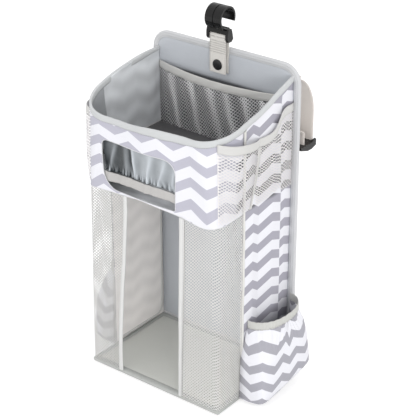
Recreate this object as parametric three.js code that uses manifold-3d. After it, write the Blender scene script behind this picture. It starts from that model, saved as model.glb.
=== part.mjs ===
// Hanging organizer for the rail of a crib: a stiff back panel and base, cloth walls with a
// basket on top of an open bay, mesh and cloth pockets, a hook on a snap strap and two rear straps.
// Millimetres. X points right, Y to the back and Z up. The origin is the centre of the underside.
import * as THREE from 'three';
import { mergeVertices } from 'three/addons/utils/BufferGeometryUtils.js';
import Module from 'manifold-3d';

const wasm = await Module();
wasm.setup();

// Clearance, cloth and tape
const GAP = 0.3;
const CLOTH = 0.8;
const TAPE_LEG = 9;
const WEB_T = 1.5;
const WEB_W = 30;

// Base and back panel
const BODY_W = 250;
const BODY_D = 176;
const BACK_W = 272;
const BACK_H = 506;
const BACK_TOP_R = 30;
const BACK_FOOT_R = 10;
const BASE_R = 3;
const BOARD_T = 3;

// Cloth walls
const SEAM_FROM_FRONT = 57;
const SEAM_CLEAR_OF_ARC = 2;
const RIM_FRONT_Z = 437;
const RIM_BACK_Z = 489;
const RIM_LEG = 8;
const CORNER_R_BASE = 8;
const CORNER_R_HEM = 20;
const CORNER_R_RIM = 50;
const BAND_BULGE = 8;
const BAND_Z = 315;
const HEM_H = 3;
const SEAM_TAPE_W = 14;

// Basket floor and wipes pocket
const SHELF_TOP_Z = 355;
const WIPES_DEPTH = 30;
const LINER_TOP_Z = 425;
const WINDOW_X = -12;
const WINDOW_W = 128;
const WINDOW_H = 76;
const WINDOW_SILL = 3;
const WINDOW_R = 9;
const WINDOW_FOOT_R = 22;
const SLIT_H = 16;
const RIBBON_H = 12;
const CURTAIN_LAP = 8;
const CURTAIN_FOLD = 2.6;
const CURTAIN_TOP_FOLD = 1;
const CURTAIN_FOLDS = 9;

// Open front and its mesh
const OPENING_W = 112;
const MESH_TAPE_LEG = 10;
const NET_PITCH_Z = 18;
const NET_STRAND = 3.2;
const NET_COLUMNS = 3;

// Inner mesh pocket
const INNER_POCKET_TOP_Z = 459;
const INNER_POCKET_BULGE = 22;
const INNER_POCKET_FOOT_SHARE = 0.3;
const INNER_POCKET_ROUNDNESS = 0.7;
const POCKET_TAPE_H = 13;

// Mesh side pockets
const UPPER_POCKET_FRONT_Z = 426;
const UPPER_POCKET_RISE = 25;
const UPPER_POCKET_Z = 318;
const UPPER_POCKET_BULGE = 13;
const UPPER_DIVIDER = 0.52;
const UPPER_CORNER_SHARE = 0.2;
const UPPER_CORNER_DEG = 45;
const UPPER_FULLEST = 0.7;
const UPPER_ROUNDNESS = 0.8;

// Cloth side pockets
const LOWER_POCKET_LAP = 5;
const LOWER_POCKET_TOP_Z = 134;
const LOWER_POCKET_FOOT_Z = 3;
const LOWER_POCKET_RISE = 22;
const LOWER_POCKET_BODY = 45;
const LOWER_POCKET_REAR = 4;
const LOWER_MOUTH_LATE = 17;
// Share of the height, fullness, squareness of the plan and how far the front has drawn back
const LOWER_POCKET_GIRTH = [
  [0, 0, 0.35, 0],
  [0.004, 0.62, 0.35, 0],
  [0.02, 0.93, 0.35, 0],
  [0.09, 1, 0.35, 0],
  [0.3, 1.02, 0.38, 0],
  [0.6, 1, 0.45, 0.1],
  [0.82, 0.92, 0.6, 0.5],
  [1, 0.78, 0.9, 1],
];

// Hook strap and snap
const STRAP_X = -5;
const BAR_ABOVE_BACK = 18;
const BAR_R = 2.7;
const STRAP_DROP = 58;
const SNAP_DROP = 45;
const SNAP_R = 8.5;
const SNAP_SHAFT_R = 2;
const SNAP_FLANGE_T = 0.8;
const SNAP_SOCKET_R = 6.5;
const SNAP_SOCKET_T = 2;
const SNAP_DOME_H = 2;
const SNAP_DOME = [[0, 0], [1, 0], [0.96, 0.45], [0.72, 0.85], [0.4, 1], [0, 1]];
const SNAP_KNOB_R = 1.7;

// Hook
const HOOK_W = 29;
const HOOK_R = 18.5;
const HOOK_WALL = 3;
const HOOK_RISE = 28;
const HOOK_BACK = 1.5;
const HOOK_ROOT_DEG = 285;
const HOOK_TIP_DEG = -20;
const HOOK_FRAME_WALL = 4.5;
const HOOK_FRAME_DEPTH = 12;
const HOOK_FRAME_NECK = 3.8;
const HOOK_CHEEK_BACK = 1.5;
const HOOK_LIP_R = 1.9;
const HOOK_GROOVE_W = 1.6;
const HOOK_GROOVE_T = 0.8;
const HOOK_GROOVE_SHORT = 45;

// Rear straps
const REAR_STRAP_X = 118;
const REAR_STRAP_TOP_Z = 490;
const REAR_STRAP_SEWN = 12;
const REAR_STRAP_REACH = 38;
const REAR_STRAIGHT_TOP_Z = 422;
const REAR_TURN_Z = 372;
const REAR_TURN_R = 3;
const REAR_PLIES_APART = 22;
const REAR_RETURN_BEND_Z = 388;
const REAR_RETURN_Z = 404;
const REAR_CURVE_EASE = [[14, 10], [0, 28]];
const ADJUSTER_W = 38;
const ADJUSTER_FRONT = 13;
const ADJUSTER_REAR = 2.4;
const ADJUSTER_T = 4;
const CHEEK_UP = 7;
const CHEEK_DOWN = 6;

// Places that follow from the sizes above
const PANEL_T = BOARD_T + 2 * (CLOTH + GAP);
const WALL_T = 2 * CLOTH + GAP;
const FRONT_Y = -BODY_D / 2;
const BACK_Y = BODY_D / 2;
const SEAM_Y = FRONT_Y + SEAM_FROM_FRONT;
const WALL_FOOT_Z = PANEL_T + GAP;
const BAND_CLOTH_Z = BAND_Z + HEM_H + GAP;
const WINDOW_Z = BAND_CLOTH_Z + WINDOW_SILL;
const RIBBON_Z = WINDOW_Z + SLIT_H;
const INSIDE_HALF_W = BODY_W / 2 - WALL_T - GAP;
const BAR_Z = BACK_H + BAR_ABOVE_BACK;
const LOOP_R = BAR_R + GAP + WEB_T / 2;
const BAR_Y = BACK_Y - GAP - WEB_T / 2 - LOOP_R;

// Heights and depths of the strap, measured from the bar's centre
const TAIL_TOP = -3;
const STRAP_FOOT = -STRAP_DROP;
const SNAP_AT = -SNAP_DROP;
const BACK_PLY = LOOP_R;
const SUNK_PLY = BACK_PLY - SNAP_FLANGE_T - GAP;

const { lerp, clamp, degToRad } = THREE.MathUtils;

// A closed body from two faces that run side by side through a row of stations
function sheet(stations) {
  const rings = stations.map(({ outer, inner }) => [...outer, ...inner.slice().reverse()]);
  const count = rings[0].length;
  const index = [];
  for (let i = 0; i + 1 < rings.length; i += 1) {
    for (let j = 0; j < count; j += 1) {
      const a = i * count + j;
      const b = i * count + ((j + 1) % count);
      index.push(a, b, b + count, a, b + count, a + count);
    }
  }
  const last = (rings.length - 1) * count;
  for (let k = 0; k + 1 < count / 2; k += 1) {
    const far = count - 1 - k;
    index.push(k + 1, k, far, k + 1, far, far - 1);
    index.push(last + k, last + k + 1, last + far, last + k + 1, last + far - 1, last + far);
  }
  const geometry = new THREE.BufferGeometry();
  const positions = rings.flat().flatMap((p) => [p.x, p.y, p.z]);
  geometry.setAttribute('position', new THREE.Float32BufferAttribute(positions, 3));
  geometry.setIndex(index);
  return facingOut(geometry);
}

// The same body with its triangles turned so that they face out
function facingOut(geometry) {
  const position = geometry.getAttribute('position');
  const index = Array.from(geometry.getIndex().array);
  const [a, b, c] = [new THREE.Vector3(), new THREE.Vector3(), new THREE.Vector3()];
  let volume = 0;
  for (let i = 0; i < index.length; i += 3) {
    a.fromBufferAttribute(position, index[i]);
    b.fromBufferAttribute(position, index[i + 1]);
    c.fromBufferAttribute(position, index[i + 2]);
    volume += a.dot(b.cross(c));
  }
  if (volume < 0) {
    geometry.setIndex(index.map((_, i) => index[i - (i % 3) + [0, 2, 1][i % 3]]));
  }
  return geometry;
}

// Joining and cutting
function toSolid(geometry) {
  const bare = geometry.clone();
  bare.deleteAttribute('normal');
  bare.deleteAttribute('uv');
  const merged = mergeVertices(bare, 1e-4);
  return new wasm.Manifold(new wasm.Mesh({
    numProp: 3,
    vertProperties: new Float32Array(merged.getAttribute('position').array),
    triVerts: new Uint32Array(merged.getIndex().array),
  }));
}

function toGeometry(solid) {
  const mesh = solid.getMesh();
  const geometry = new THREE.BufferGeometry();
  geometry.setAttribute('position', new THREE.Float32BufferAttribute(mesh.vertProperties, 3));
  geometry.setIndex(Array.from(mesh.triVerts));
  return geometry;
}

function join(...geometries) {
  return toGeometry(geometries.map(toSolid).reduce((sum, solid) => sum.add(solid)));
}

function cut(geometry, ...tools) {
  return toGeometry(tools.map(toSolid).reduce((rest, tool) => rest.subtract(tool), toSolid(geometry)));
}

// A box given by two corners
function block(x0, y0, z0, x1, y1, z1) {
  const geometry = new THREE.BoxGeometry(x1 - x0, y1 - y0, z1 - z0);
  return geometry.translate((x0 + x1) / 2, (y0 + y1) / 2, (z0 + z1) / 2);
}

// A round bar along X or Y between two stations
function barAlongX(radius, x0, x1, y, z, sides = 20) {
  const geometry = new THREE.CylinderGeometry(radius, radius, x1 - x0, sides);
  return geometry.rotateZ(Math.PI / 2).translate((x0 + x1) / 2, y, z);
}

function discAlongY(radius, y0, y1, sides = 24) {
  const geometry = new THREE.CylinderGeometry(radius, radius, y1 - y0, sides);
  return geometry.translate(0, (y0 + y1) / 2, 0);
}

function extruded(shape, depth, curveSegments) {
  return new THREE.ExtrudeGeometry(shape, { depth, bevelEnabled: false, curveSegments });
}

// An outline in X and Z pushed back from y0 to y1, and one in Y and Z pushed right from x0 to x1
function upright(shape, y0, y1) {
  return extruded(shape, y1 - y0, 6).rotateX(Math.PI / 2).translate(0, y1, 0);
}

function sideways(shape, x0, x1) {
  const turn = new THREE.Matrix4().makeBasis(
    new THREE.Vector3(0, 1, 0),
    new THREE.Vector3(0, 0, 1),
    new THREE.Vector3(1, 0, 0),
  );
  return extruded(shape, x1 - x0, 6).applyMatrix4(turn).translate(x0, 0, 0);
}

// A rectangle whose corners have the radii of its foot and its top, drawn in by an inset
function panelOutline(x0, y0, x1, y1, footR, topR, inset) {
  const foot = Math.max(footR - inset, 0.5);
  const top = Math.max(topR - inset, 0.5);
  const [left, low, right, high] = [x0 + inset, y0 + inset, x1 - inset, y1 - inset];
  const shape = new THREE.Shape();
  shape.absarc(right - foot, low + foot, foot, -Math.PI / 2, 0);
  shape.absarc(right - top, high - top, top, 0, Math.PI / 2);
  shape.absarc(left + top, high - top, top, Math.PI / 2, Math.PI);
  shape.absarc(left + foot, low + foot, foot, Math.PI, Math.PI * 1.5);
  return shape;
}

// A board between two cloths with tape folded round its edge, lying in X and Y from z = 0 up
function edgedPanel(outline) {
  const plate = (inset, z0, z1) => extruded(outline(inset), z1 - z0, 3).translate(0, 0, z0);
  return {
    lowCloth: plate(TAPE_LEG + GAP, 0, CLOTH),
    board: plate(CLOTH + GAP, CLOTH + GAP, CLOTH + GAP + BOARD_T),
    highCloth: plate(TAPE_LEG + GAP, PANEL_T - CLOTH, PANEL_T),
    tape: cut(
      plate(0, 0, PANEL_T),
      plate(CLOTH, CLOTH, PANEL_T - CLOTH),
      plate(TAPE_LEG, -1, PANEL_T + 1),
    ),
  };
}

// Plan of the cloth walls: corner radius and bulge at a height, and the rim's height at a depth
function cornerRadius(z) {
  if (z < BAND_Z) {
    return lerp(CORNER_R_BASE, CORNER_R_HEM, clamp(z / BAND_Z, 0, 1));
  }
  const rise = (z - BAND_Z) / (RIM_FRONT_Z - BAND_Z);
  return Math.min(lerp(CORNER_R_HEM, CORNER_R_RIM, rise), SEAM_FROM_FRONT - SEAM_CLEAR_OF_ARC);
}

function frontY(x, z, inset) {
  const reach = BODY_W / 2 - cornerRadius(z);
  const bulge = BAND_BULGE * clamp(z / BAND_Z, 0, 1);
  return FRONT_Y + inset - bulge * Math.cos((Math.PI / 2) * clamp(Math.abs(x) / reach, 0, 1)) ** 2;
}

function rimZ(y) {
  return lerp(RIM_FRONT_Z, RIM_BACK_Z, clamp((y - FRONT_Y) / BODY_D, 0, 1));
}

// A point of the right wall in plan: on the corner's arc, on the side or on the front
const onArc = (degrees) => (z, inset) => {
  const r = cornerRadius(z);
  const [x, y] = [BODY_W / 2 - r, FRONT_Y + r];
  const angle = degToRad(degrees);
  return [x + (r - inset) * Math.cos(angle), y - (r - inset) * Math.sin(angle)];
};
const onSide = (y) => (z, inset) => [BODY_W / 2 - inset, y];
const onFront = (share, endX = 0) => (z, inset) => {
  const x = lerp(BODY_W / 2 - cornerRadius(z), endX, share);
  return [x, frontY(x, z, inset)];
};

const ARC_STEPS = 6;
const arcStops = Array.from({ length: ARC_STEPS + 1 }, (_, i) => onArc((90 * i) / ARC_STEPS));
const steps = (count) => Array.from({ length: count }, (_, i) => (i + 1) / count);

function place(stop, side, z, inset) {
  const [x, y] = stop(z, inset);
  return new THREE.Vector3(side * x, y, z);
}

// Stops all round the rim, from one side's seam to the other's
const halfBand = [onSide(SEAM_Y - GAP), ...arcStops, ...steps(5).map((share) => onFront(share))];
const bandStops = [
  ...halfBand.map((stop) => ({ stop, side: 1 })),
  ...halfBand.slice(0, -1).reverse().map((stop) => ({ stop, side: -1 })),
];

// Heights shared out between a foot and a top
const levels = (foot, top, count) => (
  Array.from({ length: count }, (_, i) => lerp(foot, top, i / (count - 1)))
);

// Naming, colouring and placing
const root = new THREE.Group();
const group = (parent, x = 0, y = 0, z = 0) => {
  const made = new THREE.Group();
  made.position.set(x, y, z);
  parent.add(made);
  return made;
};
function part(parent, name, geometry, [color, roughness, metalness = 0]) {
  const material = new THREE.MeshStandardMaterial({ color, roughness, metalness });
  const mesh = new THREE.Mesh(geometry, material);
  mesh.name = name;
  parent.add(mesh);
  return mesh;
}
const SIDES = [['left', -1], ['right', 1]];

// Colours with their roughness and metalness
const PRINTED = ['#d9d8e0', 0.85];
const LINING = ['#b9bcc1', 0.7];
const BEIGE_LINING = ['#beb9b5', 0.8];
const FLOOR_CLOTH = ['#a9aaa5', 0.75];
const BASKET_FLOOR = ['#6f6d70', 0.8];
const TAPE = ['#c2c2bf', 0.8];
const MESH_CLOTH = ['#d8d7dc', 0.8];
const SATIN = ['#c1c5c8', 0.35];
const RIBBON = ['#c9c4bc', 0.75];
const WEBBING = ['#c5c1be', 0.85];
const STIFFENER = ['#8f8a80', 0.9];
const BLACK_PLASTIC = ['#1d1c1e', 0.3];
const SNAP_METAL = ['#2b292b', 0.35, 0.7];

// Back panel: the edged panel stood upright, its lower cloth facing the front
function addBack() {
  const outline = (inset) => panelOutline(
    -BACK_W / 2,
    0,
    BACK_W / 2,
    BACK_H,
    BACK_FOOT_R,
    BACK_TOP_R,
    inset,
  );
  const panel = edgedPanel(outline);
  const back = group(root, 0, BACK_Y + PANEL_T, 0);
  back.rotation.x = Math.PI / 2;
  part(back, 'back_lining', panel.highCloth, LINING);
  part(back, 'back_board', panel.board, STIFFENER);
  part(back, 'back_cover', panel.lowCloth, LINING);
  part(back, 'back_binding', panel.tape, TAPE);
}

function addBase() {
  const outline = (inset) => panelOutline(
    -BODY_W / 2,
    FRONT_Y,
    BODY_W / 2,
    BACK_Y - GAP,
    BASE_R,
    BASE_R,
    inset,
  );
  const panel = edgedPanel(outline);
  part(root, 'base_cover', panel.lowCloth, LINING);
  part(root, 'base_board', panel.board, STIFFENER);
  part(root, 'base_lining', panel.highCloth, FLOOR_CLOTH);
  part(root, 'base_binding', panel.tape, TAPE);
}

// Basket floor: a board between two cloths, from the wipes pocket to the back panel
function addShelf() {
  const y0 = FRONT_Y + WALL_T + WIPES_DEPTH + CLOTH + 2 * GAP;
  const plate = (z0, z1) => block(-INSIDE_HALF_W, y0, z0, INSIDE_HALF_W, BACK_Y - GAP, z1);
  const shelf = group(root, 0, 0, SHELF_TOP_Z - PANEL_T);
  part(shelf, 'shelf_cover', plate(0, CLOTH), LINING);
  part(shelf, 'shelf_board', plate(CLOTH + GAP, CLOTH + GAP + BOARD_T), STIFFENER);
  part(shelf, 'shelf_lining', plate(PANEL_T - CLOTH, PANEL_T), BASKET_FLOOR);
}

// Side walls behind the seam: printed cloth outside and lining inside, with a slanting rim
function addSideWalls() {
  const shape = new THREE.Shape();
  shape.moveTo(SEAM_Y, WALL_FOOT_Z);
  shape.lineTo(BACK_Y - GAP, WALL_FOOT_Z);
  shape.lineTo(BACK_Y - GAP, rimZ(BACK_Y));
  shape.lineTo(SEAM_Y, rimZ(SEAM_Y));
  for (const [name, side] of SIDES) {
    const wall = group(root, side * (BODY_W / 2), 0, 0);
    const layer = (inset) => {
      const middle = -side * (inset + CLOTH / 2);
      return sideways(shape, middle - CLOTH / 2, middle + CLOTH / 2);
    };
    part(wall, `side_cover_${name}`, layer(0), PRINTED);
    part(wall, `side_lining_${name}`, layer(CLOTH + GAP), BEIGE_LINING);
    const tape = new THREE.Shape();
    const top = (y) => rimZ(y) - RIM_LEG - GAP;
    tape.moveTo(SEAM_Y, WALL_FOOT_Z);
    tape.lineTo(SEAM_Y + SEAM_TAPE_W, WALL_FOOT_Z);
    tape.lineTo(SEAM_Y + SEAM_TAPE_W, top(SEAM_Y + SEAM_TAPE_W));
    tape.lineTo(SEAM_Y, top(SEAM_Y));
    const middle = side * (GAP + CLOTH / 2);
    part(wall, `seam_tape_${name}`, sideways(tape, middle - CLOTH / 2, middle + CLOTH / 2), TAPE);
  }
}

// Front band: cloth from seam to seam round the front, with the window cut through both layers
function windowCutter() {
  const [x0, x1] = [WINDOW_X - WINDOW_W / 2, WINDOW_X + WINDOW_W / 2];
  const [z0, z1] = [WINDOW_Z, WINDOW_Z + WINDOW_H];
  const shape = new THREE.Shape();
  shape.moveTo(x0 + WINDOW_FOOT_R, z0);
  shape.lineTo(x1, z0);
  shape.absarc(x1 - WINDOW_R, z1 - WINDOW_R, WINDOW_R, 0, Math.PI / 2);
  shape.absarc(x0 + WINDOW_R, z1 - WINDOW_R, WINDOW_R, Math.PI / 2, Math.PI);
  shape.absarc(x0 + WINDOW_FOOT_R, z0 + WINDOW_FOOT_R, WINDOW_FOOT_R, Math.PI, Math.PI * 1.5);
  return upright(shape, FRONT_Y - BAND_BULGE - WALL_T, FRONT_Y + 2 * WALL_T);
}

function bandLayer(inset) {
  return sheet(bandStops.map(({ stop, side }) => {
    const top = rimZ(stop(RIM_FRONT_Z, 0)[1]);
    const heights = levels(BAND_CLOTH_Z, top, 4);
    return {
      outer: heights.map((z) => place(stop, side, z, inset)),
      inner: heights.map((z) => place(stop, side, z, inset + CLOTH)),
    };
  }));
}

function addBand() {
  part(root, 'front_band_cover', cut(bandLayer(0), windowCutter()), PRINTED);
  part(root, 'front_band_lining', cut(bandLayer(CLOTH + GAP), windowCutter()), LINING);
  part(root, 'band_hem', sheet(bandStops.map(({ stop, side }) => ({
    outer: [BAND_Z, BAND_Z + HEM_H].map((z) => place(stop, side, z, 0)),
    inner: [BAND_Z, BAND_Z + HEM_H].map((z) => place(stop, side, z, WALL_T)),
  }))), TAPE);
}

// Rim tape: folded over the rim of both side walls and the band in one run
function addRimTape() {
  const rear = { stop: onSide(BACK_Y - GAP), side: 1 };
  const run = [rear, ...bandStops, { stop: onSide(BACK_Y - GAP), side: -1 }];
  const [outside, inside] = [-(GAP + CLOTH), WALL_T + GAP + CLOTH];
  part(root, 'rim_binding', sheet(run.map(({ stop, side }) => {
    const top = rimZ(stop(RIM_FRONT_Z, 0)[1]) + GAP;
    const at = (inset, z) => place(stop, side, z, inset);
    return {
      outer: [
        at(outside, top - RIM_LEG),
        at(outside, top + CLOTH),
        at(inside, top + CLOTH),
        at(inside, top - RIM_LEG),
      ],
      inner: [
        at(outside + CLOTH, top - RIM_LEG),
        at(outside + CLOTH, top),
        at(inside - CLOTH, top),
        at(inside - CLOTH, top - RIM_LEG),
      ],
    };
  })), TAPE);
}

// Wipes pocket: a lining that hangs behind the window, a gathered curtain and its ribbon
function addWipesPocket() {
  const hang = WALL_T + GAP;
  const half = BODY_W / 2 - CORNER_R_HEM - 2;
  const backFace = FRONT_Y + WALL_T + WIPES_DEPTH;
  const floorZ = BAND_CLOTH_Z;
  const floor = sheet(levels(-half, half, 13).map((x) => {
    const edges = [frontY(x, BAND_Z, hang), backFace + CLOTH];
    return {
      outer: edges.map((y) => new THREE.Vector3(x, y, floorZ)),
      inner: edges.map((y) => new THREE.Vector3(x, y, floorZ + CLOTH)),
    };
  }));
  const back = block(-half, backFace, floorZ, half, backFace + CLOTH, LINER_TOP_Z);
  part(root, 'wipes_pocket_liner', join(floor, back), LINING);

  const [x0, x1] = [WINDOW_X - WINDOW_W / 2 - CURTAIN_LAP, WINDOW_X + WINDOW_W / 2 + CURTAIN_LAP];
  const [foot, top] = [RIBBON_Z + RIBBON_H + GAP, WINDOW_Z + WINDOW_H + CURTAIN_LAP];
  const perFold = 4;
  const fold = (i) => (1 - Math.cos((2 * Math.PI * i) / perFold)) / 2;
  const curtain = Array.from({ length: CURTAIN_FOLDS * perFold + 1 }, (_, i) => {
    const x = lerp(x0, x1, i / (CURTAIN_FOLDS * perFold));
    const at = (z, depth) => new THREE.Vector3(x, frontY(x, z, hang) + depth, z);
    const [low, high] = [CURTAIN_FOLD * fold(i), CURTAIN_TOP_FOLD * fold(i)];
    return {
      outer: [at(foot, low), at(top, high)],
      inner: [at(foot, low + CLOTH), at(top, high + CLOTH)],
    };
  });
  part(root, 'wipes_curtain', sheet(curtain), SATIN);

  const ribbonStations = levels(x0, x1, 9).map((x) => ({
    outer: [RIBBON_Z, RIBBON_Z + RIBBON_H].map((z) => new THREE.Vector3(x, frontY(x, z, hang), z)),
    inner: [RIBBON_Z, RIBBON_Z + RIBBON_H].map((z) => new THREE.Vector3(x, frontY(x, z, hang + CLOTH), z)),
  }));
  part(root, 'wipes_ribbon', sheet(ribbonStations), RIBBON);
}

// Net of the open front: a sheet round each corner with lozenge gaps in its flat stretches
function lozenge(width, height) {
  const shape = new THREE.Shape();
  shape.moveTo(-width / 2, 0);
  shape.lineTo(0, -height / 2);
  shape.lineTo(width / 2, 0);
  shape.lineTo(0, height / 2);
  return shape;
}

function netGaps(low, high, place3d) {
  const [foot, top] = [WALL_FOOT_Z + NET_STRAND, BAND_Z - NET_STRAND];
  const rows = Math.floor((top - foot) / NET_PITCH_Z);
  const pitchZ = (top - foot) / rows;
  const pitchX = (high - low) / NET_COLUMNS;
  const gaps = [];
  for (let row = 0; row < rows; row += 1) {
    for (let column = 0; column < NET_COLUMNS; column += 1) {
      const shape = lozenge(pitchX - NET_STRAND, pitchZ - NET_STRAND);
      gaps.push(place3d(shape, low + (column + 0.5) * pitchX, foot + (row + 0.5) * pitchZ));
    }
  }
  return gaps;
}

function addFrontMesh() {
  const edgeX = OPENING_W / 2;
  const foot = WALL_FOOT_Z;
  const top = BAND_Z - GAP;
  const legX = edgeX + MESH_TAPE_LEG;
  const atX = (x) => (z, inset) => [x, frontY(x, z, inset)];
  const stops = [onSide(SEAM_Y - GAP), ...arcStops, onFront(0.5, legX), atX(legX), atX(edgeX)];
  const heights = levels(foot, top, 4);
  for (const [name, side] of SIDES) {
    const cloth = sheet(stops.map((stop) => ({
      outer: heights.map((z) => place(stop, side, z, 0)),
      inner: heights.map((z) => place(stop, side, z, CLOTH)),
    })));
    const arcEnd = CORNER_R_HEM + 1;
    const frontGaps = netGaps(legX + 1, BODY_W / 2 - arcEnd, (shape, x, z) => (
      upright(shape, FRONT_Y - BAND_BULGE - 1, FRONT_Y + 2 * CLOTH).translate(side * x, 0, z)
    ));
    const sideGaps = netGaps(FRONT_Y + arcEnd, SEAM_Y - 1, (shape, y, z) => (
      sideways(shape, -2 * CLOTH, 2 * CLOTH).translate(side * (BODY_W / 2), y, z)
    ));
    part(root, `front_mesh_${name}`, cut(cloth, ...frontGaps, ...sideGaps), MESH_CLOTH);

    const tape = sheet(heights.map((z) => {
      const at = (x, inset) => new THREE.Vector3(side * x, frontY(x, z, inset), z);
      const [web, lip] = [edgeX - GAP - CLOTH, edgeX - GAP];
      return {
        outer: [
          at(legX, -GAP - CLOTH),
          at(web, -GAP - CLOTH),
          at(web, 2 * CLOTH + GAP),
          at(legX, 2 * CLOTH + GAP),
        ],
        inner: [at(legX, -GAP), at(lip, -GAP), at(lip, CLOTH + GAP), at(legX, CLOTH + GAP)],
      };
    }));
    part(root, `front_mesh_binding_${name}`, tape, TAPE);
  }
}

// Pocket of gathered mesh on the face of the back panel, with a tape along its mouth
function addInnerPocket() {
  const stations = levels(-INSIDE_HALF_W, INSIDE_HALF_W, 13);
  const mouthZ = INNER_POCKET_TOP_Z - POCKET_TAPE_H;
  const depth = (x, rise) => {
    const across = Math.max(Math.cos((Math.PI / 2) * (x / INSIDE_HALF_W)), 0);
    const swell = across ** INNER_POCKET_ROUNDNESS;
    return GAP + INNER_POCKET_BULGE * swell * lerp(INNER_POCKET_FOOT_SHARE, 1, rise);
  };
  const at = (x, z, extra) => {
    const rise = (z - SHELF_TOP_Z) / (mouthZ - SHELF_TOP_Z);
    return new THREE.Vector3(x, BACK_Y - depth(x, clamp(rise, 0, 1)) - extra, z);
  };
  const run = (heights) => sheet(stations.map((x) => ({
    outer: heights.map((z) => at(x, z, CLOTH)),
    inner: heights.map((z) => at(x, z, 0)),
  })));
  part(root, 'inner_pocket_mesh', run(levels(SHELF_TOP_Z + GAP, mouthZ - GAP, 3)), MESH_CLOTH);
  part(root, 'inner_pocket_binding', run([mouthZ, INNER_POCKET_TOP_Z]), TAPE);
}

// Side pockets stand this far off the wall where they are sewn down, over the seam tape
const STANDOFF = CLOTH + 2 * GAP;

// Two mesh cells side by side on each side wall, from the band's corner to the back panel
function addUpperPockets() {
  const shares = levels(0, 1, 15);
  const foot = UPPER_POCKET_Z;
  const topZ = (share) => UPPER_POCKET_FRONT_Z + UPPER_POCKET_RISE * share ** 2;
  const stopAt = (share) => {
    if (share < UPPER_CORNER_SHARE) {
      return onArc(UPPER_CORNER_DEG * (1 - share / UPPER_CORNER_SHARE));
    }
    const back = (share - UPPER_CORNER_SHARE) / (1 - UPPER_CORNER_SHARE);
    return (z, inset) => onSide(lerp(FRONT_Y + cornerRadius(z), BACK_Y - 2 * GAP, back))(z, inset);
  };
  const swell = (share) => {
    const cell = share < UPPER_DIVIDER
      ? share / UPPER_DIVIDER
      : (share - UPPER_DIVIDER) / (1 - UPPER_DIVIDER);
    return UPPER_POCKET_BULGE * Math.sin(Math.PI * clamp(cell, 0, 1));
  };
  const profile = (rise) => {
    const turn = (Math.PI / 2) * (clamp(rise, 0, 1) / UPPER_FULLEST);
    return Math.sin(turn) ** UPPER_ROUNDNESS;
  };
  for (const [name, side] of SIDES) {
    const run = (heightsOf) => sheet(shares.map((share) => {
      const top = topZ(share);
      const at = (z, extra) => {
        const out = STANDOFF + swell(share) * profile((z - foot) / (top - foot));
        return place(stopAt(share), side, z, -out - extra);
      };
      const heights = heightsOf(top);
      return { outer: heights.map((z) => at(z, CLOTH)), inner: heights.map((z) => at(z, 0)) };
    }));
    const mesh = run((top) => levels(foot, top - POCKET_TAPE_H - GAP, 5));
    part(root, `upper_pocket_mesh_${name}`, mesh, MESH_CLOTH);
    part(root, `upper_pocket_binding_${name}`, run((top) => [top - POCKET_TAPE_H, top]), TAPE);
  }
}

// A deep, square-cornered cloth pocket with an elastic mouth low on each side wall
function addLowerPockets() {
  const [y0, y1] = [SEAM_Y - LOWER_POCKET_LAP, BACK_Y - 2 * GAP];
  const clothTop = LOWER_POCKET_TOP_Z - POCKET_TAPE_H - GAP;
  const turns = levels(0, Math.PI, 17);
  const mouthLevel = LOWER_POCKET_GIRTH[LOWER_POCKET_GIRTH.length - 1];
  const plan = ([, fullness, squareness, late], turn, thin) => {
    const start = y0 + late * LOWER_MOUTH_LATE;
    const reach = Math.max(fullness * LOWER_POCKET_BODY - thin, 0);
    const along = Math.abs(Math.cos(turn)) ** squareness * ((y1 - start) / 2 - thin);
    const y = (start + y1) / 2 - Math.sign(Math.cos(turn)) * along;
    return { y, bulge: reach * Math.abs(Math.sin(turn)) ** squareness, share: (y - y0) / (y1 - y0) };
  };
  for (const [name, side] of SIDES) {
    const at = (level, turn, thin, zOf) => {
      const { y, bulge, share } = plan(level, turn, thin);
      const out = STANDOFF + LOWER_POCKET_REAR * share + bulge;
      return new THREE.Vector3(side * (BODY_W / 2 + out), y, zOf(share));
    };
    const rising = ([rise], lift) => (share) => (
      lerp(LOWER_POCKET_FOOT_Z + LOWER_POCKET_RISE * share, clothTop, rise) + lift
    );
    const cloth = sheet(turns.map((turn) => ({
      outer: LOWER_POCKET_GIRTH.map((level) => at(level, turn, 0, rising(level, 0))),
      inner: LOWER_POCKET_GIRTH.map((level, k) => (
        at(level, turn, CLOTH, rising(level, k < 3 ? CLOTH : 0))
      )),
    })));
    part(root, `lower_pocket_${name}`, cloth, PRINTED);
    const mouth = [clothTop + GAP, LOWER_POCKET_TOP_Z];
    const elastic = sheet(turns.map((turn) => ({
      outer: mouth.map((z) => at(mouthLevel, turn, 0, () => z)),
      inner: mouth.map((z) => at(mouthLevel, turn, CLOTH, () => z)),
    })));
    part(root, `lower_pocket_elastic_${name}`, elastic, TAPE);
  }
}

// A flat webbing of the given width and thickness along a path in Y and Z
function webbing(path, width = WEB_W, thickness = WEB_T) {
  const offset = (i, distance) => {
    const before = path[Math.max(i - 1, 0)];
    const after = path[Math.min(i + 1, path.length - 1)];
    const [a, b] = [unit(before, path[i]), unit(path[i], after)];
    const ahead = i === 0 ? b : a;
    const beyond = i === path.length - 1 ? a : b;
    const [ny, nz] = [-(ahead[1] + beyond[1]), ahead[0] + beyond[0]];
    const square = (ny * ny + nz * nz) / 2;
    return [path[i][0] + (ny / square) * distance, path[i][1] + (nz / square) * distance];
  };
  const face = (x, distance) => path.map((_, i) => new THREE.Vector3(x, ...offset(i, distance)));
  return sheet([-width / 2, width / 2].map((x) => ({
    outer: face(x, thickness / 2),
    inner: face(x, -thickness / 2),
  })));
}

function unit([y0, z0], [y1, z1]) {
  const length = Math.hypot(y1 - y0, z1 - z0) || 1;
  return [(y1 - y0) / length, (z1 - z0) / length];
}

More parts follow.
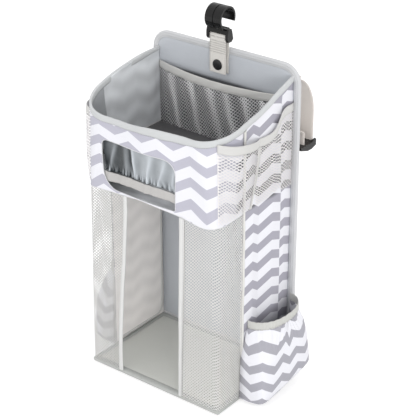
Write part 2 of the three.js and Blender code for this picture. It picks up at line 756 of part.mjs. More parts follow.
function arcPath(y, z, radius, from, to, count) {
  return levels(from, to, count).map((degrees) => {
    const angle = degToRad(degrees);
    return [y + radius * Math.cos(angle), z + radius * Math.sin(angle)];
  });
}

// Strap of the hook, about the bar's centre: a loop sewn to the back panel and a tail that snaps shut
function addStrap(strap) {
  const loopPath = [
    [SUNK_PLY, STRAP_FOOT],
    [SUNK_PLY, SNAP_AT + SNAP_SOCKET_R + 2],
    [BACK_PLY, SNAP_AT + SNAP_SOCKET_R + 6],
    ...arcPath(0, 0, LOOP_R, 0, 180, 9),
    [-LOOP_R, TAIL_TOP + WEB_T / 2 + GAP],
  ];
  const shaftHole = (y, z) => (
    discAlongY(SNAP_SHAFT_R + GAP, y - 2 * WEB_T, y + 2 * WEB_T).translate(0, 0, z)
  );
  part(strap, 'strap_loop', cut(webbing(loopPath), shaftHole(SUNK_PLY, SNAP_AT)), WEBBING);

  const tail = group(strap, 0, -LOOP_R, TAIL_TOP);
  const roundEnd = barAlongX(WEB_T / 2, -WEB_W / 2, WEB_W / 2, 0, 0, 12);
  const tailLength = TAIL_TOP - STRAP_FOOT;
  const flat = block(-WEB_W / 2, -WEB_T / 2, -tailLength, WEB_W / 2, WEB_T / 2, 0);
  const tailHole = shaftHole(0, SNAP_AT - TAIL_TOP);
  part(tail, 'strap_tail', cut(join(roundEnd, flat), tailHole), WEBBING);
  addSnap(strap, tail);
}

// Snap: cap and socket on the tail, stud and rivet on the loop
function addSnap(strap, tail) {
  const snapOnTail = group(tail, 0, 0, SNAP_AT - TAIL_TOP);
  const plyFace = WEB_T / 2 + GAP;
  const section = SNAP_DOME.map(([r, h]) => new THREE.Vector2(r * SNAP_R, h * SNAP_DOME_H));
  const dome = new THREE.LatheGeometry(section, 24).rotateX(Math.PI).translate(0, -plyFace, 0);
  const shaft = discAlongY(SNAP_SHAFT_R, -plyFace - SNAP_DOME_H / 2, plyFace);
  part(snapOnTail, 'snap_cap', join(dome, shaft), SNAP_METAL);

  const socketY = plyFace + GAP;
  const socket = discAlongY(SNAP_SOCKET_R, socketY, socketY + SNAP_SOCKET_T);
  const mouth = discAlongY(SNAP_KNOB_R + 2 * GAP, socketY + GAP, socketY + SNAP_SOCKET_T + 1);
  part(snapOnTail, 'snap_socket', cut(socket, mouth), SNAP_METAL);

  const snapOnLoop = group(strap, 0, SUNK_PLY, SNAP_AT);
  const knobTip = SUNK_PLY + LOOP_R - socketY - 2 * GAP;
  const stud = join(
    discAlongY(SNAP_SOCKET_R - 1, -plyFace - SNAP_FLANGE_T, -plyFace),
    discAlongY(SNAP_KNOB_R, -knobTip, -plyFace - SNAP_FLANGE_T / 2),
  );
  part(snapOnLoop, 'snap_stud', stud, SNAP_METAL);
  const rivet = join(
    discAlongY(SNAP_SOCKET_R - 1, plyFace, plyFace + SNAP_FLANGE_T),
    discAlongY(SNAP_SHAFT_R, -WEB_T / 2, plyFace + SNAP_FLANGE_T / 2),
  );
  part(snapOnLoop, 'snap_rivet', rivet, SNAP_METAL);
}

// Hook about the bar's centre: a frame round the webbing's loop under an open C
function addHook(strap) {
  const loopTop = LOOP_R + WEB_T / 2 + GAP;
  const slotHalf = WEB_W / 2 + GAP;
  const frameHalf = slotHalf + HOOK_FRAME_WALL;
  const depth = HOOK_FRAME_DEPTH / 2;
  const cheekBack = depth + HOOK_CHEEK_BACK;
  const [foot, low] = [-depth - 1, -depth / 2];
  const top = HOOK_RISE - HOOK_R + HOOK_WALL;
  const frameShape = new THREE.Shape();
  frameShape.moveTo(-HOOK_FRAME_NECK, foot);
  frameShape.lineTo(HOOK_FRAME_NECK, foot);
  frameShape.lineTo(cheekBack, low);
  frameShape.lineTo(depth, loopTop);
  frameShape.lineTo(HOOK_FRAME_NECK, top);
  frameShape.lineTo(-HOOK_FRAME_NECK, top);
  frameShape.lineTo(-depth, loopTop);
  frameShape.lineTo(-depth, low);
  const frame = cut(
    sideways(frameShape, -frameHalf, frameHalf),
    block(-slotHalf, -depth - 1, foot - 1, slotHalf, cheekBack + 1, loopTop),
  );
  const bar = barAlongX(BAR_R, -slotHalf - GAP, slotHalf + GAP, 0, 0);
  const middleR = HOOK_R - HOOK_WALL / 2;
  const curve = arcPath(HOOK_BACK, HOOK_RISE, middleR, HOOK_ROOT_DEG, HOOK_TIP_DEG, 30);
  const tip = curve[curve.length - 1];
  const shell = webbing(curve, HOOK_W, HOOK_WALL);
  const lip = barAlongX(HOOK_LIP_R, -HOOK_W / 2, HOOK_W / 2, tip[0], tip[1], 12);
  const [grooveFrom, grooveTo] = [HOOK_ROOT_DEG - HOOK_GROOVE_SHORT, HOOK_TIP_DEG + HOOK_GROOVE_SHORT];
  const grooveCurve = arcPath(HOOK_BACK, HOOK_RISE, HOOK_R, grooveFrom, grooveTo, 24);
  const groove = webbing(grooveCurve, HOOK_GROOVE_W, 2 * HOOK_GROOVE_T);
  part(strap, 'hook', cut(join(frame, bar, shell, lip), groove), BLACK_PLASTIC);
}

// Rear straps: a webbing loop behind each side of the back panel, with an adjuster at its foot
function addRearStraps() {
  const sewnY = PANEL_T + GAP + WEB_T / 2;
  const runY = PANEL_T + REAR_STRAP_REACH;
  const returnY = runY - REAR_PLIES_APART;
  const looseZ = REAR_STRAP_TOP_Z - REAR_STRAP_SEWN;
  const [[leaveY, leaveZ], [, meetZ]] = REAR_CURVE_EASE;
  const curve = new THREE.CubicBezierCurve(
    new THREE.Vector2(sewnY, looseZ),
    new THREE.Vector2(sewnY + leaveY, looseZ - leaveZ),
    new THREE.Vector2(runY, REAR_STRAIGHT_TOP_Z + meetZ),
    new THREE.Vector2(runY, REAR_STRAIGHT_TOP_Z),
  );
  const path = [
    [sewnY, REAR_STRAP_TOP_Z],
    ...curve.getPoints(12).map((p) => [p.x, p.y]),
    ...arcPath(runY - REAR_TURN_R, REAR_TURN_Z, REAR_TURN_R, 0, -90, 5),
    ...arcPath(returnY + REAR_TURN_R, REAR_TURN_Z, REAR_TURN_R, -90, -180, 5),
    [returnY, REAR_RETURN_BEND_Z],
    [sewnY, REAR_RETURN_Z],
    [sewnY, REAR_RETURN_Z + REAR_STRAP_SEWN],
  ];
  for (const [name, side] of SIDES) {
    const strap = group(root, side * REAR_STRAP_X, BACK_Y, 0);
    part(strap, `rear_strap_${name}`, webbing(path), WEBBING);
    const adjuster = group(strap, 0, returnY, REAR_TURN_Z);
    part(adjuster, `strap_adjuster_${name}`, adjusterGeometry(), BLACK_PLASTIC);
  }
}

// Adjuster: two cheeks, a middle plate between the plies of the webbing and a bar outside each ply
function adjusterGeometry() {
  const clear = WEB_T / 2 + GAP;
  const innerX = WEB_W / 2 + GAP;
  const [front, rear] = [-clear - ADJUSTER_FRONT, REAR_PLIES_APART + clear + ADJUSTER_REAR];
  const plate = (y0, y1) => block(-innerX - 1, y0, 0, innerX + 1, y1, ADJUSTER_T);
  const side = new THREE.Shape();
  side.moveTo(front, 0);
  side.lineTo(REAR_PLIES_APART * 0.2, -CHEEK_DOWN);
  side.lineTo(REAR_PLIES_APART * 0.7, -CHEEK_DOWN);
  side.lineTo(rear, -CHEEK_DOWN / 2);
  side.lineTo(rear, CHEEK_UP);
  side.lineTo(REAR_PLIES_APART * 0.6, ADJUSTER_T);
  side.lineTo(front, ADJUSTER_T);
  return join(
    sideways(side, innerX, ADJUSTER_W / 2),
    sideways(side, -ADJUSTER_W / 2, -innerX),
    plate(front, -clear),
    plate(clear, REAR_PLIES_APART - clear),
    plate(REAR_PLIES_APART + clear, rear),
  );
}

addBack();
addBase();
addShelf();
addSideWalls();
addBand();
addRimTape();
addWipesPocket();
addFrontMesh();
addInnerPocket();
addUpperPockets();
addLowerPockets();
const strapGroup = group(root, STRAP_X, BAR_Y, BAR_Z);
addStrap(strapGroup);
addHook(strapGroup);
addRearStraps();

export default root;
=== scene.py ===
"""Looks of the crib hanging organizer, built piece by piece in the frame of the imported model.
Lengths are millimetres in the helpers below, and each mesh is written in metres."""
import math

import bpy
import numpy as np
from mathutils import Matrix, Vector


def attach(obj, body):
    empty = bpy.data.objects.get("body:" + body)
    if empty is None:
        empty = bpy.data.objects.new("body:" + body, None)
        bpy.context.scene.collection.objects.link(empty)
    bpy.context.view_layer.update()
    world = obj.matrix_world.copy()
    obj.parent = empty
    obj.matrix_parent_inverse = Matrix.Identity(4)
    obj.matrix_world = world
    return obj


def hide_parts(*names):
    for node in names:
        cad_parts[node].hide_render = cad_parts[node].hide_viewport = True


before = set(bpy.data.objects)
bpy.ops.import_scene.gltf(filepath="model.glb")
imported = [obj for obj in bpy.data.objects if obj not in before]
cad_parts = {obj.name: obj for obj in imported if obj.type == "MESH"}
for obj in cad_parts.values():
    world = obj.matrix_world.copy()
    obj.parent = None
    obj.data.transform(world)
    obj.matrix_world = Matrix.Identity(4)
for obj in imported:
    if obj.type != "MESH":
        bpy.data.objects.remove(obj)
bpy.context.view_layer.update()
MM = 0.001

# Sizes of the walls, repeated from the part
FRONT_Y, BACK_Y = -88.0, 88.0
HALF_W, BACK_HALF_W, BACK_H = 125.0, 136.0, 506.0
PANEL_T, CLOTH, GAP = 5.2, 0.8, 0.3
SEAM_Y = -31.0
BAND_Z, BAND_CLOTH_Z = 315.0, 318.3
RIM_FRONT_Z, RIM_BACK_Z = 437.0, 489.0
SHELF_TOP_Z = 355.0
SHELF_HALF_W, SHELF_FRONT_Y = 122.8, -54.7
REAR_Y = BACK_Y - GAP
WINDOW = (-82.5, 320.8, 50.5, 398.3)
WINDOW_CORNERS = (3, 22, 8, 26)
RIBBON_Z0, RIBBON_Z1 = 337.3, 349.3
SIDES = (("left", -1), ("right", 1))


# Numbers and lines
def lerp(a, b, t):
    return a + (b - a) * t


def clamp(v, low=0.0, high=1.0):
    return np.clip(v, low, high)


def smooth(v, low, high):
    t = clamp((v - low) / (high - low))
    return t * t * (3 - 2 * t)


def bump(x, middle, width):
    return np.exp(-((x - middle) / width) ** 2)


def ripple(a, b, seed, length=60.0):
    """A soft uneven surface between about -1 and 1."""
    random = np.random.RandomState(seed)
    total = np.zeros(np.broadcast(a, b).shape)
    waves = 7
    for _ in range(waves):
        turn, phase = random.uniform(0, math.tau, 2)
        reach = length * random.uniform(0.6, 1.7)
        total += np.sin((a * math.cos(turn) + b * math.sin(turn)) / reach * math.tau + phase)
    return total / math.sqrt(waves) / 1.3


def pleats(along, up, seed, reach):
    """Long upright folds of a gathered net, in millimetres."""
    random = np.random.RandomState(seed)
    total = 0 * along
    for _ in range(5):
        length, phase = random.uniform(0.55, 1.6) * reach, random.uniform(0, 9)
        lean = random.uniform(-0.1, 0.1)
        total = total + np.sin((along + lean * up) / length * math.tau + phase)
    return total / 2.2


def spread(low, high, count):
    return np.linspace(low, high, count)


def mesh_grid(a, b):
    return np.meshgrid(a, b, indexing="ij")


def lattice(low, high, count, shares):
    """Grids of places from low to high and of shares from 0 to 1."""
    return mesh_grid(spread(low, high, count), spread(0, 1, shares))


def pack(*parts):
    """Coordinates side by side, as points or UVs."""
    return np.stack(np.broadcast_arrays(*parts), -1)


def run_of(line):
    """How far along a line each of its points is."""
    steps = np.linalg.norm(np.diff(np.asarray(line, float), axis=0), axis=1)
    return np.concatenate([[0.0], np.cumsum(steps)])


def profiled(run, profile):
    """Grids for a tape: places along its run, the two coordinates of its profile, and its UVs."""
    along, first = mesh_grid(run, np.array(profile)[:, 0])
    return along, first, np.array(profile)[:, 1] + 0 * along, pack(*mesh_grid(run, run_of(profile)))


def left_of(line):
    """Unit vectors to the left of a line in a plane."""
    ahead = np.gradient(line, axis=0)
    ahead /= np.linalg.norm(ahead, axis=1)[:, None]
    return pack(-ahead[:, 1], ahead[:, 0])


def straight(a, b, step=2.0):
    count = max(int(math.dist(a, b) / step), 2)
    return lerp(np.array(a, float), np.array(b, float), spread(0, 1, count)[:, None])


def arc(cy, cz, r, start, end, count):
    a = np.radians(spread(start, end, count))
    return pack(cy + r * np.cos(a), cz + r * np.sin(a))


def bezier(a, b, c, d, count):
    t = spread(0, 1, count)[:, None]
    a, b, c, d = (np.array(p, float) for p in (a, b, c, d))
    return (1 - t) ** 3 * a + 3 * t * (1 - t) ** 2 * b + 3 * t * t * (1 - t) * c + t ** 3 * d


def joined(*parts):
    whole = [parts[0]]
    for part in parts[1:]:
        whole.append(part[1:] if math.dist(whole[-1][-1], part[0]) < 0.01 else part)
    return np.concatenate(whole)


def outline(x0, z0, x1, z1, radii, inset=0.0, step=12.0):
    """Points round a rectangle, counter-clockwise, drawn in by an inset. Its corners, from the right foot
    on, have the four radii. The number of points doesn't change with the inset."""
    def corners(drawn_in):
        left, low, right, high = x0 + drawn_in, z0 + drawn_in, x1 - drawn_in, z1 - drawn_in
        parts = []
        for n, radius in enumerate(radii):
            r = max(radius - drawn_in, 0.4)
            parts.append(arc(right - r if n in (0, 1) else left + r, high - r if n in (1, 2) else low + r,
                             r, 90 * n - 90, 90 * n, 8))
        return np.concatenate(parts)

    ends = corners(0)
    counts = np.maximum(np.linalg.norm(np.roll(ends, -1, 0) - ends, axis=1) / step, 1).astype(int)
    line, out = corners(inset), []
    for here, there, count in zip(line, np.roll(line, -1, 0), counts):
        out += [lerp(here, there, k / count) for k in range(count)]
    return np.array(out)


def inside_corner(a, b, r):
    """Distance into a corner of radius r, from how far a point is past its centre each way."""
    return r - np.hypot(np.maximum(a, 0), np.maximum(b, 0)) - np.minimum(np.maximum(a, b), 0)


# Plan of the walls: s runs along the outer cloth from the middle of the front, positive to the right
def corner_radius(z):
    low = lerp(8.0, 20.0, clamp(z / BAND_Z))
    high = np.minimum(lerp(20.0, 50.0, (z - BAND_Z) / (RIM_FRONT_Z - BAND_Z)), 55.0)
    return np.where(z < BAND_Z, low, high)


def front_y(x, z, inset):
    bulge = 8.0 * clamp(z / BAND_Z)
    share = clamp(np.abs(x) / (HALF_W - corner_radius(z)))
    return FRONT_Y + inset - bulge * np.cos(math.pi / 2 * share) ** 2


def run_length(z, rear_y):
    r = corner_radius(z)
    return HALF_W - r + r * math.pi / 2 + (rear_y - FRONT_Y - r)


def wall(s, z, inset):
    """Points at runs s and heights z, drawn in by an inset."""
    r = corner_radius(z)
    flat, a = HALF_W - r, np.abs(s)
    angle = clamp((a - flat) / r, 0, math.pi / 2)
    behind = np.maximum(a - flat - r * math.pi / 2, 0)
    x = np.where(a <= flat, a, flat + (r - inset) * np.sin(angle))
    arc_y = FRONT_Y + r - (r - inset) * np.cos(angle) + behind
    return pack(np.sign(s) * x, np.where(a <= flat, front_y(a, z, inset), arc_y), z)


def rim_z(y):
    return lerp(RIM_FRONT_Z, RIM_BACK_Z, clamp((y - FRONT_Y) / (BACK_Y - FRONT_Y)))


def slack(s, z):
    """How far the wall cloth stands out of its even surface."""
    return 0.9 * ripple(s, z, 5, 95.0)


# Places where the limp cloth has given way: the middle, the reach and the shift of each
GIVES = (
    ((-112, -72, 445), (42, 42, 70), (-6.0, -5.0, -2.5)),
    ((-88, -92, 365), (34, 34, 45), (-4.5, -1.0, 0.0)),
    ((-125, -15, 450), (40, 55, 60), (-6.5, 0.0, 4.0)),
    ((-125, 92, 495), (25, 38, 24), (0.0, 0.0, -11.0)),
    ((-55, -93, 440), (50, 40, 35), (0.0, 0.0, -4.0)),
    ((35, -96, 440), (25, 30, 20), (0.0, 0.0, -2.0)),
    ((-122, -55, 318), (45, 45, 22), (0.0, 0.0, -6.0)),
    ((-8, -96, 314), (50, 25, 6), (0.0, 0.0, 6.5)),
    ((96, -92, 316), (26, 26, 24), (0.0, 0.0, -8.0)),
    ((30, -98, 442), (40, 30, 11), (0.0, 0.0, 5.0)),
    ((125, 2, 480), (35, 36, 24), (0.0, 0.0, -7.0)),
)


def settled(points):
    moved = points.copy()
    for middle, reach, shift in GIVES:
        off = (points - middle) / reach
        moved += np.exp(-(off ** 2).sum(-1))[..., None] * shift
    return moved


# Nodes
def feed(socket, value):
    """Wires a socket to the output of another node, or sets it to a number or a colour."""
    if isinstance(value, Wire):
        socket.id_data.links.new(value.socket, socket)
    elif isinstance(value, tuple) and socket.type == "RGBA":
        socket.default_value = (*value, 1.0)
    else:
        socket.default_value = value


def add_node(tree, kind, *values, **named):
    """A node with its inputs fed in order, or by name."""
    made = tree.nodes.new(kind)
    for socket, value in zip(made.inputs, values):
        feed(socket, value)
    for name, value in named.items():
        feed(made.inputs[name.replace("_", " ")], value)
    return made


class Wire:
    """The output of a node. Arithmetic with it adds the nodes that do it."""

    def __init__(self, socket):
        self.socket = socket

    def math(self, operation, *others):
        made = add_node(self.socket.id_data, "ShaderNodeMath", self, *others)
        made.operation = operation
        return Wire(made.outputs[0])

    def __add__(self, other):
        return self.math("ADD", other)

    def __sub__(self, other):
        return self.math("SUBTRACT", other)

    def __mul__(self, other):
        return self.math("MULTIPLY", other)

    def __truediv__(self, other):
        return self.math("DIVIDE", other)

    def __abs__(self):
        return self.math("ABSOLUTE")

    def part(self):
        """What is left over a whole number."""
        return self.math("FRACT")

    def held(self):
        """The same value, kept between 0 and 1."""
        self.socket.node.use_clamp = True
        return self

    def between(self, low, high):
        """0 at low, 1 at high."""
        return ((self - low) / (high - low)).held()

    def wave(self, pitch):
        """0 to 1, one wave each pitch metres."""
        return (self * (math.tau / pitch)).math("SINE") * 0.5 + 0.5


class Paint:
    """The nodes of one material."""

    def __init__(self, name, rough, **sockets):
        self.name, self.height = name, None
        self.material = bpy.data.materials.new(name)
        self.material.use_nodes = True
        self.tree = self.material.node_tree
        self.shader = self.tree.nodes["Principled BSDF"]
        for socket, value in {"Roughness": rough, **sockets}.items():
            self.shader.inputs[socket.replace("_", " ")].default_value = value

    def mix(self, share, a, b, blend="MIX"):
        made = self.tree.nodes.new("ShaderNodeMix")
        made.data_type, made.blend_type = "RGBA", blend
        for number, value in ((0, share), (6, a), (7, b)):
            feed(made.inputs[number], value)
        return Wire(made.outputs[2])

    def tinted(self, share, color, low, high):
        """The colour, from low times it at share 0 to high times it at 1."""
        return self.mix(share, shade(color, low), shade(color, high))

    def parts(self, vector):
        return [Wire(part) for part in add_node(self.tree, "ShaderNodeSeparateXYZ", vector).outputs]

    def cloth_uv(self):
        uv = self.tree.nodes.new("ShaderNodeUVMap")
        uv.uv_map = "cloth"
        return self.parts(Wire(uv.outputs[0]))[:2]

    def place(self):
        return Wire(self.tree.nodes.new("ShaderNodeTexCoord").outputs["Object"])

    def noise(self, scale, detail=3.0):
        made = add_node(self.tree, "ShaderNodeTexNoise", Vector=self.place(), Scale=scale, Detail=detail,
                        Roughness=0.55)
        return Wire(made.outputs[0])

    def raise_by(self, height, metres):
        """Adds a height, 0 to 1, of that many metres to the surface's bump."""
        scaled = height * metres
        self.height = scaled if self.height is None else self.height + scaled

    def uneven(self, scale, metres, detail=3.0):
        self.raise_by(self.noise(scale, detail), metres)

    def woven(self, pitch, height):
        u, v = self.cloth_uv()
        threads = u.wave(pitch) * v.wave(pitch)
        self.raise_by(threads, height)
        return threads

    def done(self, color, rough=None):
        feed(self.shader.inputs["Base Color"], color)
        if rough is not None:
            feed(self.shader.inputs["Roughness"], rough)
        bump_node = add_node(self.tree, "ShaderNodeBump", Height=self.height, Distance=1.0)
        feed(self.shader.inputs["Normal"], Wire(bump_node.outputs[0]))
        MATERIALS[self.name] = self.material


MATERIALS = {}


def linear(*rgb):
    """A colour read off a screen, 0 to 255, as the renderer's linear values."""
    parts = [v / 255 for v in rgb]
    return tuple(v / 12.92 if v <= 0.04045 else ((v + 0.055) / 1.055) ** 2.4 for v in parts)


def shade(color, by):
    return tuple(min(v * by, 1.0) for v in color)


# Materials: colours are given as on a screen, lengths in metres
PRINT_WAVE, PRINT_PERIOD = 0.054, 0.0323
SIDE_PRINT_AT = (0.033, 0.292)
WHITE_CLOTH = linear(236, 236, 242)
BAND_GREY = (186, 185, 198)


def cloth(name, rgb, rough=0.8, pitch=0.0011, height=0.00006, sheen=0.15, mottle=0.05, dark=None):
    """Plain weave. dark gives two heights and the share of the colour that is left between them: a band of
    painted shade.
    """
    color, paint = linear(*rgb), Paint(name, rough, Sheen_Weight=sheen, Sheen_Roughness=0.5)
    threads = paint.woven(pitch, height)
    paint.uneven(120.0, 0.00025)
    mixed = paint.tinted(paint.noise(38.0, 4.0) * 0.7 + threads * 0.3, color, 1 - mottle, 1 + mottle)
    # painted shade between the two heights
    if dark:
        low, high, left = dark
        z = paint.parts(paint.place())[2]
        inside = z.between(low - 0.006, low) * z.between(high + 0.004, high)
        mixed = paint.mix(inside, mixed, shade(color, left))
    paint.done(mixed)


def zigzag(uv, at, share, soft, rise, wave=PRINT_WAVE, period=PRINT_PERIOD):
    """1 on the printed stripes and 0 between them. Their peaks stand at the place given, with their tops."""
    slope = abs(((uv[0] - at[0]) / wave).part() * 2.0 - 1.0)
    level = uv[1] - (slope * rise + (at[1] - rise))
    off = abs(((level * -1.0 / period).part() + (0.5 - share / 2)).part() - 0.5)
    return ((off - share / 2) * (-period / soft) + 0.5).held()


def printed(name, at, rgb=BAND_GREY, shade_behind_net=None, rise=0.013, **shape):
    """White cloth with grey zigzags. The fourth argument gives the foot and the two heights of the mouth of
    the net pocket in front of the print, for the shade painted behind that net."""
    paint = Paint(name, 0.78, Sheen_Weight=0.12, Sheen_Roughness=0.5)
    stripes = zigzag(paint.cloth_uv(), at, 0.465, 0.0005, rise, **shape)
    threads = paint.woven(0.0011, 0.00007)
    paint.uneven(90.0, 0.0003)
    mask = stripes * (paint.noise(900.0, 2.0) * 0.12 + 0.90).held()
    tone = paint.noise(30.0) * 0.5 + threads * 0.5
    mixed = paint.mix(mask, paint.tinted(tone, WHITE_CLOTH, 0.95, 1.04),
                      paint.tinted(tone, linear(*rgb), 0.93, 1.07))
    if shade_behind_net:
        mixed = net_shade(paint, mixed, mask, *shade_behind_net)
    paint.done(mixed)


def net_shade(paint, mixed, mask, foot, mouth_low, mouth_high):
    """Painted shade: darkens the print behind the net of the upper pocket, from its foot up to a mouth that
    rises to the back, far darker on the grey stripes seen through the net's holes, and about halves all that
    lies below the lower pocket's mouth."""
    x, y, z = paint.parts(paint.place())
    mouth = y.between(0.015, 0.045) * (mouth_high - mouth_low) + mouth_low
    under = (mouth - z).between(0.0, 0.012) * z.between(foot - 0.002, foot + 0.004)
    out = (abs(x) - y).between(0.2015, 0.2055).math("MAXIMUM", y.between(-0.05, -0.04))
    # painted shadow behind the net: the white dimmed a little, the grey stripes made far darker
    dark = paint.mix(mask, shade(WHITE_CLOTH, 0.95), shade(linear(*BAND_GREY), 0.14))
    # painted shade inside the lower pocket, below its mouth
    pocket = paint.mix(z.between(0.134, 0.100), (1.0, 1.0, 1.0), (0.5, 0.5, 0.52))
    return paint.mix(1.0, paint.mix(under * out, mixed, dark), pocket, "MULTIPLY")


def lining(name, bay_rgb, basket_rgb, at, faint, strong):
    """Lining through which the print behind it shows: faint in the bay, strong above the basket floor."""
    low, high = linear(*bay_rgb), linear(*basket_rgb)
    paint = Paint(name, 0.62, Sheen_Weight=0.25, Sheen_Roughness=0.4)
    mask = zigzag(paint.cloth_uv(), at, 0.5, 0.011, 0.011)
    threads = paint.woven(0.0009, 0.00005)
    paint.uneven(30.0, 0.0005)
    tone = threads * 0.35 + paint.noise(25.0) * 0.65
    level = SHELF_TOP_Z * MM
    above = paint.parts(paint.place())[2].between(level - 0.004, level + 0.004)
    plain = paint.mix(above, paint.tinted(tone, low, 0.97, 1.03), paint.tinted(tone, high, 0.96, 1.04))
    paint.done(paint.mix(mask, plain, paint.mix(above, shade(low, 1 - faint), shade(high, 1 - strong))))


def tape(name, rgb, rib=0.0016, stitch=(), turned=False, rows=()):
    """Tape whose ribs follow each other along U, or along V if turned. stitch gives the places of lines of
    stitches that run the same way, and rows those of seams straight across; both are sunk and darkened with
    painted shade."""
    color, paint = linear(*rgb), Paint(name, 0.75, Sheen_Weight=0.15, Sheen_Roughness=0.5)
    u, v = paint.cloth_uv()
    along, across = (v, u) if turned else (u, v)
    ribs = along.wave(rib)
    paint.raise_by(ribs, 0.0001)
    paint.raise_by(across.wave(0.0009), 0.00004)
    paint.uneven(110.0, 0.0003)
    mixed = paint.tinted(ribs * 0.4 + paint.noise(45.0) * 0.6, color, 0.93, 1.06)
    for line in rows:
        sunk = (abs(along - line) * (-1 / 0.0006) + 1.5).held()
        paint.raise_by(sunk, -0.0005)
        # painted shade in the sunk seam
        mixed = paint.mix(sunk * 0.5, mixed, shade(color, 0.62))
    for line in stitch:
        thread = (abs(across - line) * (-1 / 0.0004) + 1.6).held()
        mark = thread * (along / 0.0032).part().math("LESS_THAN", 0.68)
        paint.raise_by(mark, -0.0003)
        # painted shade in the sunk stitches
        mixed = paint.mix(mark * 0.35, mixed, shade(color, 0.62))
    paint.done(mixed)


def knitted(name, rgb, pleat_shade=0.0):
    """Strands of a net. The last argument darkens them in soft upright bands, painted shade between the
    net's pleats.
    """
    color, paint = linear(*rgb), Paint(name, 0.7, Sheen_Weight=0.2, Sheen_Roughness=0.4)
    u, v = paint.cloth_uv()
    paint.raise_by((u + v).wave(0.0007), 0.00008)
    mixed = paint.tinted(paint.noise(60.0), color, 0.92, 1.05)
    if pleat_shade:
        at = add_node(paint.tree, "ShaderNodeCombineXYZ", v * 0.25 + u, v * 0.15)
        bands = add_node(paint.tree, "ShaderNodeTexNoise", Vector=Wire(at.outputs[0]), Scale=34.0,
                         Detail=2.0)
        mixed = paint.mix(Wire(bands.outputs[0]).between(0.62, 0.4), mixed, shade(color, 1 - pleat_shade))
    paint.done(mixed)


def satin(name, dark_rgb, light_rgb):
    """Shiny cloth, coloured between two shades by the tone that its mesh carries, which is painted shade and
    highlight.
    """
    paint = Paint(name, 0.28, Sheen_Weight=0.3, Sheen_Roughness=0.3, Anisotropic=0.4)
    paint.raise_by(paint.cloth_uv()[0].wave(0.0006), 0.00002)
    paint.uneven(150.0, 0.0004)
    carried = paint.tree.nodes.new("ShaderNodeAttribute")
    carried.attribute_name = "tone"
    tone = (paint.noise(60.0) * 0.16 + Wire(carried.outputs["Fac"]) - 0.08).held()
    paint.done(paint.mix(tone, linear(*dark_rgb), linear(*light_rgb)), paint.noise(300.0, 2.0) * 0.12 + 0.24)


def plastic(name, color, rough=0.26):
    paint = Paint(name, rough, Coat_Weight=0.12, Coat_Roughness=0.12, Specular_IOR_Level=0.3)
    paint.uneven(700.0, 0.00006)
    paint.uneven(90.0, 0.0001, 2.0)
    paint.done(paint.tinted(paint.noise(60.0), color, 0.85, 1.2), paint.noise(220.0) * 0.2 + (rough - 0.08))


def metal(name, color):
    paint = Paint(name, 0.35, Metallic=0.6, Coat_Weight=0.4, Coat_Roughness=0.2)
    paint.uneven(900.0, 0.00003, 2.0)
    paint.done(paint.tinted(paint.noise(400.0, 2.0), color, 0.8, 1.3), paint.noise(500.0, 2.0) * 0.2 + 0.28)


# Foot and mouth heights of the upper pockets' net, behind which shade is painted onto the print
SHADE_BEHIND_NET = (0.318, 0.419, 0.440)
WEBBING_STITCH = (0.0012, 0.0288)
printed("band_print", (0.0205, 0.4120), shade_behind_net=SHADE_BEHIND_NET)
printed("side_print", SIDE_PRINT_AT, (164, 162, 174), SHADE_BEHIND_NET, rise=0.0105)
printed("pocket_print", (0.0, 0.108), (166, 165, 174), rise=0.0115, wave=0.040, period=0.0299)
# painted shade on the back lining behind the inner pocket's net, between its two heights
cloth("grey_lining", (194, 198, 204), 0.5, sheen=0.3, dark=(0.352, 0.450, 0.2))
cloth("plain_lining", (208, 211, 214), 0.5, sheen=0.3)
cloth("band_lining", (168, 171, 174), 0.55, sheen=0.3)
cloth("bay_floor", (217, 218, 212), 0.7, mottle=0.03)
# dark grey, partly the basket floor's own colour and partly painted shade in the basket
cloth("basket_floor", (90, 89, 91), 0.75, mottle=0.2)
cloth("rear_webbing", (216, 209, 203), 0.7, pitch=0.0016, height=0.0001)
cloth("stiffener", (150, 146, 138), 0.9)
lining("beige_lining", (249, 245, 242), (232, 235, 238), SIDE_PRINT_AT, 0.085, 0.2)
tape("binding_tape", (206, 207, 209), stitch=(0.003, 0.0068))
tape("rim_tape", (203, 205, 206), stitch=(0.0015, 0.0225))
tape("mouth_tape", (205, 204, 201), stitch=(0.0018,))
tape("seam_tape", (226, 225, 221), stitch=(0.0015,), turned=True)
tape("base_tape", (184, 186, 183))
tape("piping", (222, 222, 224), rib=0.002)
tape("pocket_elastic", (200, 200, 196), rib=0.0026, stitch=(0.0018,))
tape("net_tape", (222, 222, 221), stitch=(0.0015,))
tape("cream_tape", (209, 208, 206), turned=True)
tape("ribbon", (190, 188, 186), rib=0.0009, turned=True)
tape("webbing", (220, 217, 212), rib=0.0024, stitch=WEBBING_STITCH)
tape("sewn_webbing", (220, 217, 212), rib=0.0024, stitch=WEBBING_STITCH,
     rows=(0.006, 0.0095, 0.013, 0.0165, 0.020, 0.0235))
knitted("mesh_cloth", (238, 237, 235))
# a darker copy of the net's white for the left net: painted shade
knitted("left_mesh_cloth_shaded", (212, 211, 209))
# painted shade in upright bands across the inner net
knitted("inner_mesh_cloth", (255, 253, 254), pleat_shade=0.3)
knitted("upper_mesh_cloth", (242, 239, 239))
satin("satin", (50, 55, 58), (206, 212, 218))
satin("pouch_satin", (98, 100, 102), (214, 216, 220))
plastic("black_plastic", (0.003, 0.0028, 0.0028))
metal("snap_metal", (0.02, 0.019, 0.02))


